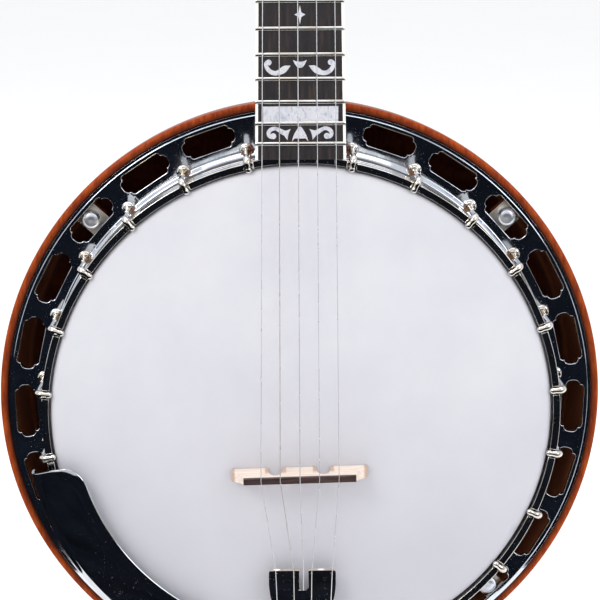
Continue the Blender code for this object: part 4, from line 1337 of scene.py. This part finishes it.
def make_tuners():
    body = Shape()
    body.turn(soften([(3.3, -1.1), (7.2, -1.1, 0.4), (7.2, -0.3), (3.3, -0.3)], 0.1), 40)
    body.turn(soften([(3.3, -2.6), (6.0, -2.6, 0.6), (6.0, -1.1), (3.3, -1.1)], 0.2), 6)
    body.turn([(3.3, -1.0), (4.7, -1.0), (4.7, 14.3), (3.3, 14.3)], 32)
    housing = [
        (3.3, 14.3), (9.0, 14.3, 0.5), (9.0, 16.6, 0.2), (8.5, 16.9, 0.2), (8.5, 22.2, 0.2),
        (9.0, 22.5, 0.2)
    ]
    housing += [(9.0, 24.4, 0.6), (6.4, 27.0, 0.8), (3.3, 27.0)]
    body.turn(soften(housing, 0.2), 96, knurl=0.2, teeth=32)
    post = [
        (0, -17.5), (2.2, -17.5), (2.9, -17.0), (3.0, -16.2), (2.5, -12.6), (2.35, -10.0), (2.5, -7.6),
        (3.0, -4.0), (3.0, 19.7), (0, 19.7),
    ]
    for k in range(1, len(PEG_PLACES) + 1):
        joint = JOINTS[f"tuner_knob_{k}_turn"]
        place = Matrix.Translation(Vector(joint["pos_m"])) @ PEGHEAD.to_3x3().to_4x4()
        steel = looks["nickel"]
        show(f"tuner_body_{k}_fine", body, steel, place, "nickel_plate", [f"tuner_body_{k}"], sharp=40)
        hole = Shape().turn(
            [(0, -4), (0.7, -4), (0.7, 4), (0, 4)], 12,
            Matrix.Translation((0, -9.6, 0)) @ Matrix.Rotation(pi / 2, 4, "Z")
        )
        name = f"tuner_post_{k}"
        show(
            f"{name}_fine", Shape().turn(post, 32), steel, place, "nickel_plate", [name], body=name,
            cutters=[(hole, place, "DIFFERENCE")]
        )
        name = f"tuner_knob_{k}"
        show(
            f"{name}_fine", knob(Shape(), 20.0), looks["pearl"], place, "pearl_button", [name],
            body=name, sharp=60
        )
        trim = Shape().turn(
            soften(
                [(0, 20.0), (2.9, 20.0), (2.9, 27.4, 0.3), (3.7, 27.8, 0.3), (3.7, 28.7, 0.3), (0, 28.7)],
                0.1
            ),
            32
        )
        trim.turn([(0, 41.0), (1.9, 41.2), (2.1, 41.6), (1.5, 42.0), (0, 42.1)], 20)
        show(f"{name}_trim", trim, steel, place, "nickel_plate", body=name)


def make_fifth_tuner():
    joint = JOINTS["fifth_tuner_knob_turn"]
    middle = Vector((0, joint["pos_m"][1], joint["pos_m"][2]))
    place = Matrix.Translation(middle) @ NECK.to_3x3().to_4x4() @ Matrix.Rotation(pi / 2, 4, "Z")
    steel = looks["nickel"]
    body = Shape()
    body.turn(
        soften(
            [(0, 10.0), (3.6, 10.0, 0.3), (3.6, 22.4, 0.4), (1.9, 22.4, 0.1), (1.9, 32.4), (0, 32.4)],
            0.0
        ),
        32
    )
    housing = [
        (0, 32.4), (7.0, 32.4, 0.5), (7.0, 34.6, 0.2), (6.6, 34.9, 0.2), (6.6, 38.6, 0.2),
        (7.0, 38.9, 0.2)
    ]
    housing += [(7.0, 40.4, 0.4), (6.4, 41.0, 0.3), (3.3, 41.0), (3.3, 37.4), (0, 37.4)]
    body.turn(soften(housing, 0.0), 80, knurl=0.18, teeth=26)
    show("fifth_tuner_body_fine", body, steel, place, "nickel_plate", ["fifth_tuner_body"], sharp=40)
    sleeve = [
        (2.2, 22.7), (3.9, 22.7, 0.2), (3.8, 23.6, 0.3), (3.2, 25.4, 0.6), (3.2, 29.2, 0.6),
        (3.8, 31.2, 0.3), (3.9, 32.1, 0.2), (2.2, 32.1)
    ]
    name = "fifth_tuner_post"
    show(
        f"{name}_fine", Shape().turn(soften(sleeve, 0.1), 32), steel, place, "nickel_plate", [name],
        body=name
    )
    name = "fifth_tuner_knob"
    show(
        f"{name}_fine", knob(Shape(), 37.7), looks["pearl"], place, "pearl_button", [name], body=name,
        sharp=60
    )
    trim = Shape().turn(
        soften(
            [(0, 37.7), (2.9, 37.7), (2.9, 45.1, 0.3), (3.7, 45.5, 0.3), (3.7, 46.4, 0.3), (0, 46.4)],
            0.1
        ),
        32
    )
    trim.turn([(0, 58.7), (1.9, 58.9), (2.1, 59.3), (1.5, 59.6), (0, 59.7)], 20)
    show(f"{name}_trim", trim, steel, place, "nickel_plate", body=name)


def make_strings():
    """Each string runs from its pin on the tailpiece over the bridge and the nut to its post."""
    for i in range(5):
        radius = STRING_RADII[i]
        tail_x = TAIL_X[i]
        bridge_x = BRIDGE_STRING_X[i] - BRIDGE_MIDDLE.x * TO_MM
        pin = (tail_x * 0.92, -9.95, -122.6)
        ends = [POT @ (Vector(point) * MM) for point in ((pin[0], -9.95, -121.0), (tail_x, -10.1, -88.0))]
        circle = [
            POT @ (Vector((pin[0] + 1.45 * sin(a), -9.95, -122.6 + 1.45 * cos(a))) * MM)
            for a in spread(2 * pi, 0.5, 14)
        ]
        ends.append(BRIDGE @ (Vector((bridge_x, -BRIDGE_HEIGHT - radius + 0.3, 0)) * MM))
        nut_s = -NUT_LENGTH / 2 if i < 4 else FIFTH_PIP_S
        ends.append(NECK @ (Vector((NUT_X[i], -NUT_HEIGHT - radius - 0.1, -nut_s)) * MM))
        coil = []
        if i < 4:
            x, u = PEG_PLACES[i]
            side = -1 if x > 0 else 1
            reach = 2.5 + radius
            for a in spread(0.0, 5 * pi, 61):
                point = (x + side * reach * cos(a), -9.4 + a / (2 * pi) * 2.3 * radius, u + reach * sin(a))
                coil.append(PEGHEAD @ (Vector(point) * MM))
        else:
            reach = 3.3 + radius
            for a in spread(0.0, 5 * pi, 61):
                across = -27.4 + a / (2 * pi) * 2.3 * radius
                point = (across, FIFTH_PEG_DEPTH - reach * cos(a), -FIFTH_PEG_S + reach * sin(a))
                coil.append(NECK @ (Vector(point) * MM))
        path = [(point * TO_MM, radius) for point in circle + ends + coil]
        look = looks["wound"] if i == 3 else looks["steel"]
        shape = Shape().rod(path, 8)
        show(f"string_{i + 1}_fine", shape, look, Matrix(), "string_steel", [f"string_{i + 1}"], sharp=60)


def finish_kept_nodes():
    """CAD nodes that stay as they are, inside the pot, get their finished materials."""
    for name, look in (("rim", "rim"), ("tone_ring", "tone_ring"), ("coordinator_rod", "nickel")):
        for slot in frame["nodes"][name].material_slots:
            slot.material = looks[look]


# The studio.


def aim(obj, target):
    obj.rotation_mode = "QUATERNION"
    obj.rotation_quaternion = (Vector(target) - obj.location).to_track_quat("-Z", "Y")


def soft_light(name, location, target, width, height, power, colour=(1, 1, 1)):
    data = bpy.data.lights.new(name, "AREA")
    data.shape = "RECTANGLE"
    data.size = width
    data.size_y = height
    data.energy = power
    data.color = colour
    light = bpy.data.objects.new(name, data)
    light.location = location
    bpy.context.scene.collection.objects.link(light)
    aim(light, target)


def hang(name, points, faces, material):
    """A card that only reflections see: it casts no shadow and the camera looks through it."""
    mesh = bpy.data.meshes.new(name)
    mesh.from_pydata(points, [], faces)
    mesh.materials.append(material)
    card = bpy.data.objects.new(name, mesh)
    bpy.context.scene.collection.objects.link(card)
    card.visible_camera = False
    card.visible_diffuse = False
    card.visible_shadow = False
    card.visible_transmission = False


def make_studio():
    scene = bpy.context.scene
    scene.view_settings.view_transform = "Standard"
    world = bpy.data.worlds.new("studio")
    world.use_nodes = True
    background = world.node_tree.nodes["Background"]
    background.inputs["Color"].default_value = (0.98, 0.99, 1.0, 1.0)
    background.inputs["Strength"].default_value = 0.9
    scene.world = world

    floor_z = cad_low.z - 2 * MM
    look = Look("floor_paper", Roughness=0.7, Emission_Strength=0.12)
    look.shader.inputs["Emission Color"].default_value = (1.0, 1.0, 1.0, 1.0)
    look.drive("Base Color", look.ramp(look.noise(6, detail=3), (0.3, 0.90), (0.7, 0.92)))
    mesh = bpy.data.meshes.new("floor")
    reach = 60.0
    corners = [(-reach, -reach, 0), (reach, -reach, 0), (reach, reach, 0), (-reach, reach, 0)]
    mesh.from_pydata(corners, [], [(0, 1, 2, 3)])
    mesh.materials.append(look.material)
    floor = bpy.data.objects.new("floor", mesh)
    floor.location.z = floor_z
    scene.collection.objects.link(floor)

    # A dark flag in front of the banjo, as in a studio, gives the plating its depth.
    look = Look("flag_cloth", Roughness=1.0, Specular_IOR_Level=0.0)
    look.drive(
        "Base Color",
        look.ramp(look.noise(20), (0.3, (0.003, 0.0036, 0.005)), (0.7, (0.008, 0.010, 0.015)))
    )
    near, far, left, right, top = -0.16, -2.3, -2.5, 1.5, -0.42
    low = floor_z + 0.003
    points = [(left, near, low), (right, near, low), (right, far, low), (left, far, low)]
    points += [(left, far, top), (right, far, top)]
    hang("flag", points, [(0, 1, 2, 3), (3, 2, 5, 4)], look.material)

    points = [(-2.5, near, low), (-0.2, near, low), (-0.2, 1.2, low), (-2.5, 1.2, low)]
    hang("floor_cloth", points, [(0, 1, 2, 3)], look.material)

    # A warm grey card stands to the right, seen only in reflections too.
    look = Look("card_paper", Roughness=1.0, Specular_IOR_Level=0.0)
    look.drive("Base Color", look.ramp(look.noise(8), (0.3, (0.26, 0.21, 0.17)), (0.7, (0.32, 0.27, 0.22))))
    points = [(1.6, -2.3, -0.42), (1.6, -0.2, -0.42), (1.6, -0.2, -0.05), (1.6, -2.3, -0.05)]
    hang("card", points, [(0, 1, 2, 3)], look.material)

    middle = POT.translation
    soft_light("key", (-1.5, -1.5, 1.0), middle, 1.0, 1.0, 22.0, (1.0, 0.97, 0.93))
    soft_light("fill", (1.7, -1.3, 0.3), middle, 1.2, 1.2, 12.0, (0.95, 0.97, 1.0))
    soft_light("top", (0.0, -0.1, 1.6), middle, 2.2, 1.4, 22.0)

    data = bpy.data.cameras.new("camera")
    data.sensor_width = 36.0
    data.lens = 125.2
    data.clip_start = 0.05
    data.clip_end = 200.0
    camera = bpy.data.objects.new("camera", data)
    scene.collection.objects.link(camera)
    camera.location = (-0.0187, -1.1608, -0.3297)
    pitch, yaw, roll = radians(-11.77), radians(0.92), radians(-0.27)
    camera.rotation_mode = "QUATERNION"
    gaze = Vector((sin(yaw) * cos(pitch), cos(yaw) * cos(pitch), sin(pitch)))
    camera.rotation_quaternion = gaze.to_track_quat("-Z", "Y") @ Quaternion((0, 0, 1), roll)
    scene.camera = camera


def main():
    make_head()
    make_tension_hoop()
    make_flange()
    make_flange_brackets()
    make_hooks()
    make_resonator()
    make_thumbscrews()
    make_tailpiece()
    make_armrest()
    make_bridge()
    make_neck()
    make_fretboard()
    make_tuners()
    make_fifth_tuner()
    make_strings()
    finish_kept_nodes()
    make_studio()


main()
